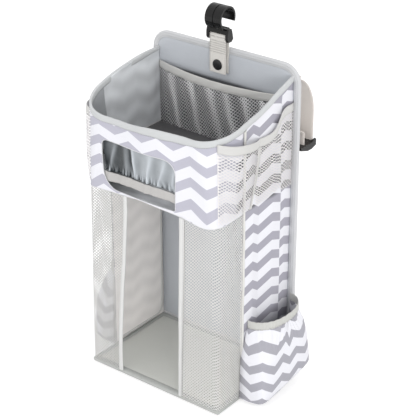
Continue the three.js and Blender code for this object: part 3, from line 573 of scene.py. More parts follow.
# Meshes
def mesh_object(name, node, points, faces, uvs, material, slot, body="organizer", thick=0.0, loose=True,
                tone=None, held="hung", on=("back_binding",), flat=None, trims=()):
    """A piece that stands for a node. Points are in millimetres, and so are the UVs, one for each corner of
    each face. The UVs lie as the cloth was cut; unless held is None, the flat size and area are worked out
    from them when flat doesn't give them, and then not used.
    trims is not used."""
    mesh = bpy.data.meshes.new(name)
    points = settled(points) if loose else points
    mesh.from_pydata((points * MM).tolist(), [], faces)
    if tone is not None:
        mesh.attributes.new("tone", "FLOAT", "POINT").data.foreach_set("value", tone.astype(np.float32))
    uvs = np.asarray(uvs, float)
    mesh.uv_layers.new(name="cloth").data.foreach_set("uv", (uvs.astype(np.float32) * MM).ravel())
    mesh.shade_smooth()
    mesh.update()
    mesh.materials.append(MATERIALS[material])
    made = bpy.data.objects.new(name, mesh)
    bpy.context.scene.collection.objects.link(made)
    if thick:
        solid = made.modifiers.new("thickness", "SOLIDIFY")
        solid.thickness, solid.offset = thick * MM, -1
    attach(made, body)
    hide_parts(node)
    if held:
        area = None
        if flat is None:
            flat, area = cut_size(faces, uvs)
    return made


def cut_size(faces, uvs):
    """Width, length and area of the flat cloth, in metres, from the UVs of its faces."""
    area, first = 0.0, 0
    for face in faces:
        u, v = uvs[first:first + len(face)].T
        area += abs(np.dot(u, np.roll(v, -1)) - np.dot(v, np.roll(u, -1))) / 2
        first += len(face)
    width, length = sorted((uvs.max(0) - uvs.min(0)) * MM)
    return (float(width), float(length)), float(min(area * MM * MM, width * length))


def grid(name, node, points, uv, material, slot, wrap=False, keep=None, flip=False, tone=None, **rest):
    """A sheet through a grid of points, rows by columns. With wrap the first row follows the last again,
    and uv has one row more. wrap="filled" also closes the last column's ring. keep says which faces stay."""
    rows, columns = points.shape[:2]
    index = np.arange(rows * columns).reshape(rows, columns)
    uv_index = np.arange(uv.shape[0] * columns).reshape(-1, columns)

    def corners(a):
        quads = [a[:-1, :-1], a[1:, :-1], a[1:, 1:], a[:-1, 1:]]
        return np.stack(quads[::-1] if flip else quads, -1).reshape(-1, 4)

    faces, uv_faces = corners(np.concatenate([index, index[:1]]) if wrap else index), corners(uv_index)
    if keep is not None:
        faces, uv_faces = faces[keep.ravel()], uv_faces[keep.ravel()]
    used = np.unique(faces)
    renumber = np.full(rows * columns, -1)
    renumber[used] = np.arange(len(used))
    faces, uvs = renumber[faces].tolist(), uv.reshape(-1, 2)[uv_faces.ravel()]
    if wrap == "filled":
        order = np.arange(rows) * (-1 if flip else 1)
        faces.append(index[order, -1].tolist())
        uvs = np.concatenate([uvs, uv[:rows, -1][order]])
    points, tone = points.reshape(-1, 3)[used], None if tone is None else tone.ravel()[used]
    return mesh_object(name, node, points, faces, uvs, material, slot, tone=tone, **rest)


def net(name, node, place, across, up, cell, hole, lean, material, **rest):
    """A knitted net: place(t, k) gives the points for shares across and up the cloth, and across and up
    are its flat size. Each lozenge is a frame of four quads round its hole, which hole gives as a share of
    the lozenge, for the whole net or as a function of the shares across and up. lean lifts the rows, as a
    share of the height for shares across, and what passes the head or foot is cut off there."""
    columns, rows = int(across / cell[0]), int(up / cell[1])
    lifted = lean(spread(0, 1, 2 * columns + 1))
    beyond = int(np.ceil(np.abs(lifted).max() * 2 * rows)) + 1
    corner_number, points, faces = {}, [], []

    def height(i, j):
        return j / (2 * rows) + lifted[i]

    def corner(i, j):
        key = (min(max(i, 0), 2 * columns), j)
        if key not in corner_number:
            corner_number[key] = len(points)
            points.append((key[0] / (2 * columns), clamp(height(*key))))
        return corner_number[key]

    for i in range(2 * columns + 1):
        for j in range(-beyond, 2 * rows + beyond + 1):
            if (i + j) % 2 or not 0.0 < height(i, j) < 1.0:
                continue
            around = [corner(i - 1, j), corner(i, j - 1), corner(i + 1, j), corner(i, j + 1)]
            if i in (0, 2 * columns):
                faces.append(list(dict.fromkeys(around)))
                continue
            centre = (i / (2 * columns), height(i, j))
            first = len(points)
            wide = hole(*centre) if callable(hole) else hole
            for k in around:
                points.append(tuple(lerp(c, p, wide) for c, p in zip(centre, points[k])))
            for k in range(4):
                n = (k + 1) % 4
                faces.append([around[k], around[n], first + n, first + k])
    share = np.array(points)
    uvs = [(share[c, 0] * across, share[c, 1] * up) for f in faces for c in f]
    mesh_object(name, node, place(share[:, 0], share[:, 1]), faces, uvs, material, "mesh_cloth", **rest)


def loft(count, sides, along, girth, closed=False):
    """Faces and UVs of a skin over rings of points, with a cap at each end unless it is closed. girth gives
    the places round a ring, the first one again at the end."""
    faces, uvs = [], []
    for i in range(count if closed else count - 1):
        n = (i + 1) % count
        for j in range(sides):
            m = (j + 1) % sides
            faces.append([i * sides + j, i * sides + m, n * sides + m, n * sides + j])
            uvs += [(along[p], girth[q]) for p, q in ((i, j), (i, j + 1), (i + 1, j + 1), (i + 1, j))]
    for i, order in () if closed else ((0, -1), (count - 1, 1)):
        faces.append([i * sides + j for j in range(sides)][::order])
        uvs += [(along[i], girth[j]) for j in range(sides)][::order]
    return faces, uvs


def tube(name, node, path, radius, sides, closed=False):
    """A round piping through the points of a path."""
    ahead = np.roll(path, -1, 0) - np.roll(path, 1, 0)
    if not closed:
        ahead[0], ahead[-1] = path[1] - path[0], path[-1] - path[-2]
    ahead /= np.linalg.norm(ahead, axis=1)[:, None]
    up = np.array([0.0, 0.0, 1.0]) if abs(ahead[0, 2]) < 0.9 else np.array([0.0, 1.0, 0.0])
    turn, rings = spread(0, math.tau, sides + 1), []
    for here, way in zip(path, ahead):
        side = np.cross(way, up)
        side /= np.linalg.norm(side)
        up = np.cross(side, way)
        rings.append(here + radius * (np.cos(turn[:-1, None]) * side + np.sin(turn[:-1, None]) * up))
    along = [*run_of(path), run_of(path)[-1] + radius]
    faces, uvs = loft(len(path), sides, along, radius * turn, closed)
    return mesh_object(name, node, np.concatenate(rings), faces, uvs, "piping", "binding_tape", held=None)


# Back panel and base
PANEL_INSETS = (8.4, 11, 16, 26, 42, 62, 80)
PANEL_PROFILE = ((9.5, -0.25), (8.8, -0.75), (5.0, -0.65), (1.6, -0.5), (0.2, 0.5), (-0.3, PANEL_T / 2),
                 (0.2, PANEL_T - 0.5), (1.6, PANEL_T + 0.5), (5.0, PANEL_T + 0.65), (8.8, PANEL_T + 0.75),
                 (9.5, PANEL_T + 0.25))


def edged_panel(shape, turn, fronts, tape_name, tape_node, tape_material):
    """Cloth faces and folded edge tape of a stiff panel. shape(inset) is the outline, turn(x, y, depth)
    places a point, and fronts gives the name, node, material and slot of each face."""
    lines = np.stack([shape(inset) for inset in PANEL_INSETS], 1)
    x, y = lines[..., 0], lines[..., 1]
    ring = np.arange(len(PANEL_INSETS))
    for side, names in enumerate(fronts):
        name, node, material, slot = names
        puff = 0.3 * np.abs(ripple(x, y, 21 + side, 90.0)) * np.minimum(ring / 3, 1) - 0.35 * (ring == 0)
        grid(name, node, turn(x, y, lerp(-puff, PANEL_T + puff, side)), np.concatenate([lines, lines[:1]]),
             material, slot, wrap="filled", flip=bool(side), loose=False, held="stretched", on=(tape_node,))
    inset, depth = np.array(PANEL_PROFILE).T
    lines = np.stack([shape(max(i, 0.0)) for i in inset], 1)
    wander = 0.25 * ripple(lines[..., 0], lines[..., 1], 33, 22.0)
    lift = depth + np.sign(depth - PANEL_T / 2) * np.maximum(wander, -0.1)
    lines += np.sign(lines - lines.mean(0)) * np.where(inset < 0, 0.25, 0.0)[:, None]
    along = run_of(np.concatenate([shape(0), shape(0)[:1]]))
    grid(tape_name, tape_node, turn(lines[..., 0], lines[..., 1], lift), profiled(along, PANEL_PROFILE)[3],
         tape_material, "binding_tape", wrap=True, flip=True, loose=False, held="folded", on=("back_board",))


def panels():
    def back_outline(inset):
        return outline(-BACK_HALF_W, 0, BACK_HALF_W, BACK_H, (10, 30, 30, 10), inset)

    def base_outline(inset):
        return outline(-HALF_W, FRONT_Y, HALF_W, REAR_Y, (3, 3, 3, 3), inset)

    edged_panel(back_outline, lambda x, z, depth: pack(x, BACK_Y + depth, z),
                (("back_panel_face", "back_lining", "grey_lining", "grey_lining"),
                 ("back_panel_rear", "back_cover", "plain_lining", "grey_lining")),
                "back_panel_tape", "back_binding", "binding_tape")
    edged_panel(base_outline, lambda x, y, depth: pack(x, y, np.maximum(PANEL_T - depth, 0.0)),
                (("bay_floor", "base_lining", "bay_floor", "bay_floor_cloth"),
                 ("base_underside", "base_cover", "plain_lining", "grey_lining")),
                "base_tape", "base_binding", "base_tape")


# The side cloth: places along the wall, where they lie on the flat cut, and how far each stands out
SIDE_RUN = (-31.5, -8.4, 6.3, 37.9, 58.8, 60.6, 72.7, 92)
SIDE_CUT = (-45, -21, 6, 33, 54, 75, 87, 106)
SIDE_OUT = (0, 2.6, 0.6, 4.2, 3.6, -0.2, 0.6, 0)
# Profiles of the outer and the inner seam: distance along the wall and height over it
SEAM_PROFILE = ((-0.5, 0.3), (-0.9, 1.3), (0.2, 2.0), (1.8, 2.1), (3.4, 1.9), (4.6, 1.2), (4.4, 0.5),
                (1.8, 0.35), (-0.6, 0.2))
LINING_ROLL = ((-1.2, -0.2), (-1.0, 0.9), (0.3, 1.5), (2.0, 1.5), (3.4, 1.0), (4.2, 0.5), (3.2, 0.1),
               (1.0, 0.0), (-1.0, -0.15))
LINING_CORNER, LINING_REAR_Y, LINING_FOOT_Z = 16.0, BACK_Y - 7.0, PANEL_T + 5.0


def side_fold(y, z):
    """Run on the flat cut and height out of the plane of the side cloth."""
    out = np.interp(y, SIDE_RUN, SIDE_OUT)
    for step in (1.2, -1.2):
        out = (out + np.interp(y + step, SIDE_RUN, SIDE_OUT)) / 2
    return np.interp(y, SIDE_RUN, SIDE_CUT), out * smooth(z, 20, 130) * (1 - smooth(z, 320, 420))


def lining_x(y, z):
    """How far the inner face of the side lining is from the middle. Its field in the bay is raised, with a
    round corner low at the back."""
    r = LINING_CORNER
    into = inside_corner(y - (LINING_REAR_Y - r), LINING_FOOT_Z + r - z, r)
    inside = smooth(into, -1.0, 3.0) * smooth(SHELF_TOP_Z - PANEL_T - 4 - z, -2, 8)
    inside = inside * smooth(y - SEAM_Y, 0, 14)
    bow = inside * (2.6 + 1.6 * np.sin(math.pi * clamp(z / SHELF_TOP_Z)) + 0.8 * ripple(y, z, 9, 70.0))
    above = smooth(z, SHELF_TOP_Z, SHELF_TOP_Z + 20) * smooth(BACK_Y - y, 0, 20) * smooth(y - SEAM_Y, 0, 20)
    out = bow - 0.5 * slack(y, z) + 1.2 * above * (1 + ripple(y, z, 8, 60.0))
    return HALF_W - CLOTH - GAP - np.maximum(out, 0)


def lining_seams():
    """Rolled seam round the raised field of the bay's lining."""
    r, y1, z0 = LINING_CORNER, LINING_REAR_Y, LINING_FOOT_Z
    line = joined(straight((SEAM_Y + 3, z0), (y1 - r, z0)), arc(y1 - r, z0 + r, r, -90, 0, 12),
                  straight((y1, z0 + r), (y1, SHELF_TOP_Z - 11), 4.0))
    inward, run = left_of(line), run_of(line)
    surface = lining_x(*(line + inward * 3.2).T) - 0.15 * ripple(run, 0 * run, 71, 18.0)
    _, off, out, uv = profiled(run, LINING_ROLL)
    at = line[:, None] + inward[:, None] * off[..., None]
    for name, side in SIDES:
        points = pack(side * (surface[:, None] - out), at[..., 0], at[..., 1])
        grid(f"lining_seam_{name}", f"side_lining_{name}", points, uv, "mouth_tape", "binding_tape",
             flip=side > 0, held="folded", on=(f"side_lining_{name}",))


def side_walls():
    edges = ("back_binding", "base_binding")
    for name, side in SIDES:
        run = np.concatenate([spread(SEAM_Y, 56, 46), spread(56.5, 63, 22), spread(64, REAR_Y, 14)])
        y, k = mesh_grid(run, spread(0, 1, 200))
        z = lerp(PANEL_T + GAP, rim_z(y), k)
        cut, fold = side_fold(y, z)
        level = 292 + (z - 292.5) * 32.3 / 31.25
        points = pack(side * (HALF_W + 0.5 * slack(y, z) + fold), y, z)
        grid(f"side_wall_{name}", f"side_cover_{name}", points, pack(cut, level - 8 * smooth(y, 59, 61)),
             "side_print", "printed_cloth", flip=side < 0, thick=CLOTH, on=edges)
        y, k = lattice(SEAM_Y, REAR_Y, 60, 200)
        z = lerp(PANEL_T + GAP, rim_z(y), k)
        points = pack(side * lining_x(y, z), y, z)
        grid(f"side_lining_inner_{name}", f"side_lining_{name}", points, pack(y, z), "beige_lining",
             "beige_lining", flip=side < 0, thick=CLOTH, on=edges)
        (at, rise), share = np.array(SEAM_PROFILE).T[..., None], spread(0, 1, 120)
        z = lerp(PANEL_T + GAP, rim_z(SEAM_Y + at) - 8.3, share)
        out = HALF_W + rise + 0.5 * slack(SEAM_Y + at, z) + 0.2 * ripple(z, 0 * z, 41, 24.0)
        points = pack(side * out, SEAM_Y + at + 0.3 * ripple(z, 0 * z, 42, 70.0), z)
        uv = pack(*mesh_grid(run_of(SEAM_PROFILE), lerp(PANEL_T, RIM_FRONT_Z, share)))
        grid(f"side_seam_{name}", f"seam_tape_{name}", points, uv, "seam_tape", "binding_tape",
             flip=side < 0, held="folded", on=(f"side_cover_{name}",))


def front_run(base, z):
    """The run s at height z of a line that is base from the middle of the front at the band's foot."""
    held, foot = 84.0, run_length(BAND_CLOTH_Z, SEAM_Y - GAP)
    end = run_length(z, SEAM_Y - GAP)
    out = np.abs(base)
    return np.sign(base) * np.where(out < held, out, held + (out - held) * (end - held) / (foot - held))


def inside_window(s, z):
    """Distance into the window's outline, negative outside."""
    x0, z0, x1, z1 = WINDOW
    middle_x, middle_z = (x0 + x1) / 2, (z0 + z1) / 2
    right, high = s > middle_x, z > middle_z
    r = np.select([right & ~high, right & high, ~right & high], WINDOW_CORNERS[:3], WINDOW_CORNERS[3])
    a, b = np.abs(s - middle_x) - (x1 - x0) / 2 + r, np.abs(z - middle_z) - (z1 - z0) / 2 + r
    return inside_corner(a, b, r)


# Runs on the band, and how far the print stands over its even level there
BAND_LEVEL = ((-170, -130, -88, -32, 20, 44, 72, 110), (-14, -11, -7, -1.5, -0.3, -1.0, 2.0, 2.5))


def band():
    low = BAND_Z + 0.4
    foot = run_length(BAND_CLOTH_Z, SEAM_Y - GAP)
    base, k = lattice(-foot, foot, 190, 66)
    z = lerp(low, rim_z(wall(front_run(base, RIM_FRONT_Z), RIM_FRONT_Z, 0)[..., 1]), k)
    s = front_run(base, z)
    depth = inside_window(s, z)
    keep = (depth[:-1, :-1] + depth[1:, :-1] + depth[:-1, 1:] + depth[1:, 1:]) / 4 < 0
    touches = np.zeros(depth.shape, bool)
    for i in (0, 1):
        for j in (0, 1):
            touches[i:i + keep.shape[0], j:j + keep.shape[1]] |= ~keep
    # What is left of the cut cells is drawn onto the window's edge
    border = outline(*WINDOW, WINDOW_CORNERS, step=1.0)
    for i, j in np.argwhere(touches & (np.abs(depth) < 4)):
        s[i, j], z[i, j] = border[np.argmin((border[:, 0] - s[i, j]) ** 2 + (border[:, 1] - z[i, j]) ** 2)]
    swell = slack(s, z) * smooth(z, low, low + 15)
    uv = pack(s + 0.03 * (z - 410), z - np.interp(s, *BAND_LEVEL))
    edge = outline(*WINDOW, WINDOW_CORNERS, step=4.0)
    run = spread(-1, 1, 150) * run_length(316.5, SEAM_Y - GAP)
    hem = wall(run, low - 0.2 + 0.3 * ripple(run, 0 * run, 3, 40.0), 0.7)
    path = wall(edge[:, 0], edge[:, 1], 0.3)
    trims = [tube("window_piping", "front_band_cover", path, 0.55, 8, closed=True),
             tube("band_foot_piping", "band_hem", hem, 0.95, 10)]
    grid("band_front", "front_band_cover", wall(s, z, -0.5 * swell), uv, "band_print", "printed_cloth",
         keep=keep, thick=CLOTH, on=("side_cover_left", "side_cover_right"), trims=trims)
    grid("band_inside", "front_band_lining", wall(s, z, 1.1 + 0.4 * np.abs(swell)), uv, "band_lining",
         "grey_lining", keep=keep, thick=CLOTH, on=("front_band_cover",))


# Profile of the rim's tape: distance in, and height over the rim's line
RIM_PROFILE = ((0.2, -8.0), (-0.8, -8.3), (-1.2, -6.3), (-1.35, -3.5), (-1.25, -0.6), (-0.7, 1.0),
               (0.8, 1.7), (2.3, 1.1), (3.0, -0.6), (3.1, -3.5), (3.0, -6.3), (2.6, -8.3), (1.8, -8.0))


def rim():
    end = run_length(RIM_FRONT_Z, REAR_Y)
    s, inset, rise, uv = profiled(spread(-end, end, 240), RIM_PROFILE)
    wave = 0.25 * ripple(s, inset * 9, 12, 26.0) + 0.35 * ripple(s, 0 * s, 17, 90.0)
    points = wall(s, RIM_FRONT_Z, inset + wave * np.where(inset > 1, 0.6, -0.6))
    level = rim_z(wall(s, RIM_FRONT_Z, 0)[..., 1])
    points[..., 2] = level + rise + 0.5 * ripple(s, 0 * s, 13, 30.0) * (rise < -6)
    grid("rim_tape", "rim_binding", points, uv, "rim_tape", "binding_tape", flip=True, held="folded",
         on=("front_band_cover",))


def shelf():
    for name, node, z, material, slot, lift in (
        ("basket_floor", "shelf_lining", SHELF_TOP_Z - 0.4, "basket_floor", "basket_floor_cloth", 1),
        ("basket_underside", "shelf_cover", SHELF_TOP_Z - PANEL_T + 0.4, "plain_lining", "grey_lining", -1),
    ):
        x, y = mesh_grid(spread(-SHELF_HALF_W, SHELF_HALF_W, 60), spread(SHELF_FRONT_Y, REAR_Y, 40))
        points = pack(x, y, z + lift * 0.35 * np.abs(ripple(x, y, 61 + lift, 80.0)))
        grid(name, node, points, pack(x, y), material, slot, flip=lift < 0, loose=False, thick=CLOTH,
             held="stretched", on=("shelf_board",))


# Folds of the satin: places along its top and its foot, width, height and painted shading, which lightens
# where positive and darkens where negative
SATIN_FOLDS = (
    (-60, -76, 3.0, 1.6, 0.36), (-52, -60, 8.0, -2.0, -0.10), (-43, -46, 5.0, 1.4, 0.24),
    (-36, -33, 2.2, -2.0, -0.26), (-30, -29, 2.2, 2.0, 0.40), (-16, -20, 7.0, -1.2, -0.16),
    (4, -4, 3.2, 1.8, 0.30), (15, 8, 6.0, -1.2, -0.16), (30, 16, 3.0, 1.8, 0.26), (37, 28, 6.0, -1.8, -0.18),
    (48, 40, 3.0, 1.6, 0.20), (50, 49, 2.4, -1.6, -0.30),
)
SATIN_X0, SATIN_X1, SATIN_TOP_Z = -84, 60, 405.3
POUCH_HALF_W, POUCH_CUT_H, POUCH_REAR_Y, POUCH_Z, POUCH_TOP_Z = 103, 140, -55.7, 318.7, 404


def satin_folds(x, k):
    """Height of the folds, and the tone from 0, dark, to 1, for places x along and shares k up the satin.
    The tone is painted light and shade: darker on the left, near the top and at the foot, lighter and darker
    along the folds and gathers.
    """
    fold = 0.6 * ripple(x, k * 56, 55, 30.0)
    # painted shade: the left part dark, and a little darker near the top
    tone = lerp(0.08, 0.62, smooth(x, -37, -31)) - 0.06 * smooth(k, 0.75, 1.0)
    tone = tone + 0.05 * ripple(x, k * 40, 56, 26.0)
    for top, foot, width, height, painted_shading in SATIN_FOLDS:
        middle = lerp(foot, top, k ** 0.8) + 1.5 * np.sin(k * 4 + top)
        here = bump(x, middle, width * lerp(0.7, 1.5, k))
        fold = fold + height * here * lerp(1.0, 0.5, smooth(k, 0.3, 1.0))
        tone = tone + painted_shading * here * lerp(1.0, 0.45, smooth(k, 0.4, 1.0))
    random = np.random.RandomState(6)
    for _ in range(6):
        pitch, phase, lean = random.uniform(4.5, 11.0), random.uniform(0, 9), random.uniform(-12, 12)
        tall = random.uniform(0.14, 0.3)
        pleat = np.sin((x + lean * k + 1.4 * np.sin(x / 9 + phase)) / pitch * math.tau + phase)
        gather = (1 - smooth(k, 0.0, tall)) ** 1.2
        fold = fold + 0.5 * gather * pleat
        # painted light and shade on the gathers
        tone = tone + 0.15 * gather * pleat
    # painted shade at the foot, by the ribbon
    return fold, tone - 0.12 * (1 - smooth(k, 0, 0.04))


def ribbon_droop(x):
    return 3.5 * smooth(-x, 30, 80) + 2.5 * smooth(x, 30, 52)


def wipes_pocket():
    x, t = lattice(-POUCH_HALF_W, POUCH_HALF_W, 80, 60)
    floor, corner = 0.27, 0.05
    y = lerp(front_y(x, POUCH_Z, 2.4), POUCH_REAR_Y, clamp(t / floor))
    up = np.maximum(t - floor, 0) / (1 - floor) * (POUCH_TOP_Z - POUCH_Z - 9.0)
    z = POUCH_Z + 9.0 * smooth(t, 0.02, floor) + up + 0.8 * ripple(x, y, 57, 26.0) * (t < floor)
    soft = smooth(t, floor - corner, floor) * (1 - smooth(t, floor, floor + corner))
    points = pack(x, y - 2.0 * soft, z + soft + 0.2 * ripple(x, z, 51, 50.0))
    # painted shade on the pouch: dark to the left, lighter to the right, and dark up its walls above the
    # floor
    tone = 0.18 + 0.62 * smooth(x, -66, -10) + 0.1 * ripple(x * 0.3, y * 1.4, 58, 14.0)
    tone = lerp(tone, 0.2, smooth(t, floor, floor + 0.1))
    grid("wipes_lining", "wipes_pocket_liner", points, pack(x, t * POUCH_CUT_H), "pouch_satin",
         "grey_lining", thick=CLOTH, tone=tone, on=("front_band_lining",))
    x, k = lattice(SATIN_X0, SATIN_X1, 420, 60)
    fold, tone = satin_folds(x, k)
    z = lerp(RIBBON_Z1 - 0.6 - ribbon_droop(x), SATIN_TOP_Z, k)
    depth = 2.6 - 0.9 * k + 1.7 * (1 - k ** 2) - np.minimum(fold, 2.4 - 1.6 * k)
    points = pack(x, front_y(x, z, 3.0) + np.maximum(depth, 0), z)
    grid("satin_curtain", "wipes_curtain", points, pack(x * 1.25, z), "satin", "satin", tone=tone,
         held="gathered", on=("front_band_lining", "wipes_ribbon"))
    x, k = lattice(SATIN_X0, SATIN_X1, 260, 9)
    z = lerp(RIBBON_Z0 - 2.4, RIBBON_Z1, k) + 0.35 * np.sin(x / 5.1) * (1 - k) - ribbon_droop(x)
    ruffle = 0.35 * np.sin(x / 3.4 + 1.5 * np.sin(x / 17)) + 0.25 * np.sin(x / 1.9)
    points = pack(x, front_y(x, z, 2.3) + ruffle - 0.5 * np.sin(math.pi * k), z)
    grid("satin_ribbon", "wipes_ribbon", points, pack(x, z - RIBBON_Z0), "ribbon", "ribbon", thick=0.7,
         held="stretched", on=("front_band_lining",))


# Open front: heights of the nets, and the profile of their tape, across and in
MESH_LOW, MESH_HIGH = PANEL_T + GAP, 314.7
NET_TAPE_W = 7.0
NET_TAPE = ((7, -0.9), (3.5, -1.1), (0.0, -0.95), (-0.84, 0.4), (0.0, 1.75), (3.5, 1.9), (7, 1.7))


def opening_edge(side, k):
    """Half width of the opening, for shares k up the net."""
    return lerp(63.0, 39.5, smooth(k, 0, 1.15) * 1.04) if side < 0 else lerp(50.0, 57.5, k)


def front_nets():
    for name, side in SIDES:
        def place(t, k, side=side):
            z = lerp(MESH_LOW, MESH_HIGH, k)
            s = lerp(opening_edge(side, k) + 0.5, run_length(z, SEAM_Y - GAP), t)
            free = np.sin(math.pi * clamp(k)) ** 0.5 * smooth(t, 0, 0.1) * smooth(1 - t, 0, 0.1)
            return wall(side * s, z, 0.4 - pleats(s, z, 70 + side, 34.0) * 1.1 * free)

        def lean(t, side=side):
            return side * 0.12 * (np.minimum(t, 0.5) - 0.5) - 0.155 * np.maximum(t - 0.5, 0)

        # the left net takes the darker copy of the net material, as painted shade
        net(f"front_net_{name}", f"front_mesh_{name}", place, 119.0, 309.0, (5.6, 5.1), 0.72, lean,
            "left_mesh_cloth_shaded" if side < 0 else "mesh_cloth",
            on=(f"front_mesh_binding_{name}", "band_hem", "base_binding"))
        z, at, inset, uv = profiled(spread(MESH_LOW, MESH_HIGH, 90), NET_TAPE)
        k, share = (z - MESH_LOW) / (MESH_HIGH - MESH_LOW), at / NET_TAPE_W
        width = 6.0 if side < 0 else lerp(6.0, 8.5, smooth(k, 0.05, 0.8))
        s = opening_edge(side, k) + share * width + 0.3 * ripple(z, 0 * z, 25 + side, 60.0)
        points = wall(side * s, z, inset + 0.15 * ripple(z, share * 40, 26, 24.0))
        grid(f"front_net_tape_{name}", f"front_mesh_binding_{name}", points, uv, "net_tape", "binding_tape",
             flip=side > 0, held="folded", on=("band_hem", "base_binding"))


# Pocket on the back panel
INNER_Z0, INNER_Z1, INNER_TAPE_Z0, INNER_TAPE_Z1 = 355.4, 445.7, 446, 459
INNER_BUNCHES = (0.17, 0.34, 0.5, 0.63, 0.75, 0.88, 0.97)


def inner_out(x, rise):
    swell = np.maximum(np.cos(math.pi / 2 * x / SHELF_HALF_W), 0) ** 0.7
    return 22 * swell * lerp(0.3, 1, rise)


def inner_pocket():
    def place(t, k):
        x = lerp(-SHELF_HALF_W, SHELF_HALF_W, t)
        free = clamp(smooth(t, 0, 0.06) * smooth(1 - t, 0, 0.06)) * smooth(k, 0, 0.2)
        wave = pleats(x, k * 150, 81, 40.0) * 2.4 + pleats(x, k * 90, 82, 15.0) * 0.8
        out = 0.7 + inner_out(x, k) + wave * free
        return pack(x, BACK_Y - np.maximum(out, 0.5), lerp(INNER_Z0, INNER_Z1, k))

    def drawn_in(t, k):
        bunched = sum(bump(t + 0.05 * k, at, 0.016 + 0.012 * k) for at in INNER_BUNCHES)
        return 0.78 - 0.36 * min(bunched, 1.0)

    net("inner_net", "inner_pocket_mesh", place, 262.0, 91.0, (6.0, 5.4), drawn_in,
        lambda t: 0.84 * (t - 0.5), "inner_mesh_cloth", held="gathered", on=("back_lining",))
    x, k = lattice(-SHELF_HALF_W, SHELF_HALF_W, 160, 8)
    sag = 1.5 * np.sin(math.pi * (x / SHELF_HALF_W + 1) / 2)
    z = lerp(INNER_TAPE_Z0, INNER_TAPE_Z1, k) - sag + 0.3 * np.sin(x / 4.0) * (1 - k)
    y = BACK_Y - 0.9 - inner_out(x, 1) - 0.5 * np.sin(math.pi * k) - 0.3 * ripple(x, z, 83, 18.0)
    grid("inner_pocket_tape", "inner_pocket_binding", pack(x, y, z), pack(x, z - INNER_TAPE_Z0),
         "mouth_tape", "binding_tape", thick=CLOTH, held="stretched", on=("back_lining",))


# Upper side pockets: the share of the run where the seam parts the two cells, and the mouth's height
UPPER_SPLIT, UPPER_FOOT_Z, UPPER_TAPE_W = 0.49, 318.0, 13
UPPER_SHARES = (0, 0.15, 0.3, 0.42, 0.52, 0.62, 0.69, 0.73, 0.765, 0.80, 0.87, 1)
UPPER_MOUTH = (424, 419, 415, 411, 408.5, 409, 412, 421, 431, 436, 438.5, 436)


def mouth_z(share):
    """Height of the foot of the mouth's tape."""
    level = np.interp(share, UPPER_SHARES, UPPER_MOUTH)
    for step in (0.02, -0.02):
        level = (level + np.interp(share + step, UPPER_SHARES, UPPER_MOUTH)) / 2
    return level


def upper_swell(share, rise):
    cell = np.where(share < UPPER_SPLIT, share / UPPER_SPLIT, (share - UPPER_SPLIT) / (1 - UPPER_SPLIT))
    across = np.sin(math.pi * clamp(cell)) ** 0.8
    depth = np.where(share < UPPER_SPLIT, 13.0, lerp(13.0, 5.0, smooth(rise, 0.4, 0.9)))
    return depth * across * np.sin(math.pi / 2 * clamp(rise) / 0.7) ** 0.8


def off_wall(side, share, z, reach):
    """Points that stand a reach out from the wall, for shares of the upper pocket's run, which starts in the
    middle of the front corner's arc."""
    r = corner_radius(np.minimum(z, RIM_FRONT_Z))
    angle = np.radians(45 * (1 - clamp(share / 0.2)))
    x = HALF_W - r + (r + reach) * np.cos(angle)
    y = FRONT_Y + r - (r + reach) * np.sin(angle)
    flat_y = lerp(FRONT_Y + r, REAR_Y - GAP, clamp((share - 0.2) / 0.8))
    return pack(side * np.where(share < 0.2, x, HALF_W + reach), np.where(share < 0.2, y, flat_y), z)


def upper_pockets():
    for name, side in SIDES:
        cover, node = f"side_cover_{name}", f"upper_pocket_mesh_{name}"

        def place(share, k, side=side):
            free = np.sin(math.pi * clamp(k)) ** 0.4 * smooth(share, 0, 0.08) * smooth(1 - share, 0, 0.05)
            wave = 1.1 * pleats(share * 170, k * 110 * 0.8 + share * 60, 90 + side, 19.0) * free
            reach = 1.5 + upper_swell(share, k) + np.maximum(wave, -1.4)
            return off_wall(side, share, lerp(UPPER_FOOT_Z, mouth_z(share), k), reach)

        net(f"upper_net_{name}", node, place, 176.0, 118.0, (6.6, 5.0), 0.71,
            lambda share: -0.36 * np.maximum(share - 0.2, 0), "upper_mesh_cloth", held="gathered",
            on=(cover, "back_binding"))
        share, k = lattice(0, 1, 130, 8)
        z = mouth_z(share) + UPPER_TAPE_W * k + 0.3 * np.sin(share * 40) * (1 - k)
        ruffle = 0.4 * np.sin(math.pi * k) + 0.25 * ripple(share * 170, z, 93, 20.0)
        points = off_wall(side, share, z, 1.9 + upper_swell(share, 1.0) + ruffle)
        grid(f"upper_pocket_tape_{name}", f"upper_pocket_binding_{name}", points,
             pack(share * 172, UPPER_TAPE_W * k), "cream_tape", "binding_tape", flip=side < 0, thick=CLOTH,
             held="stretched", on=(cover, "back_binding"))
        wide, k = lattice(-0.031, 0.031, 5, 50)
        wide = UPPER_SPLIT - 0.02 * (1 - k) + wide * lerp(0.45, 1.0, k)
        z = lerp(UPPER_FOOT_Z, mouth_z(wide), k)
        reach = 2.0 + upper_swell(wide, k) + 0.3 * ripple(wide * 60, z, 95, 30.0)
        grid(f"upper_pocket_seam_{name}", node, off_wall(side, wide, z, reach), pack(wide * 172, 120 * k),
             "cream_tape", "binding_tape", flip=side < 0, thick=0.6, on=(cover,))


# Lower side pockets: shares of the height, and there the fullness, the squareness and the late start
POCKET_LEVELS = np.array([
    (0, 0, 0.3, 0), (0.004, 0.62, 0.3, 0), (0.02, 0.95, 0.28, 0), (0.09, 1.04, 0.28, 0),
    (0.3, 1.05, 0.33, 0), (0.6, 1.02, 0.42, 0.1), (0.82, 0.93, 0.6, 0.5), (1, 0.78, 0.9, 1),
])
POCKET_REACH, POCKET_CLOTH_Z, ELASTIC_Z0, ELASTIC_Z1, ELASTIC_LENGTH = 45, 120.7, 121, 134, 160


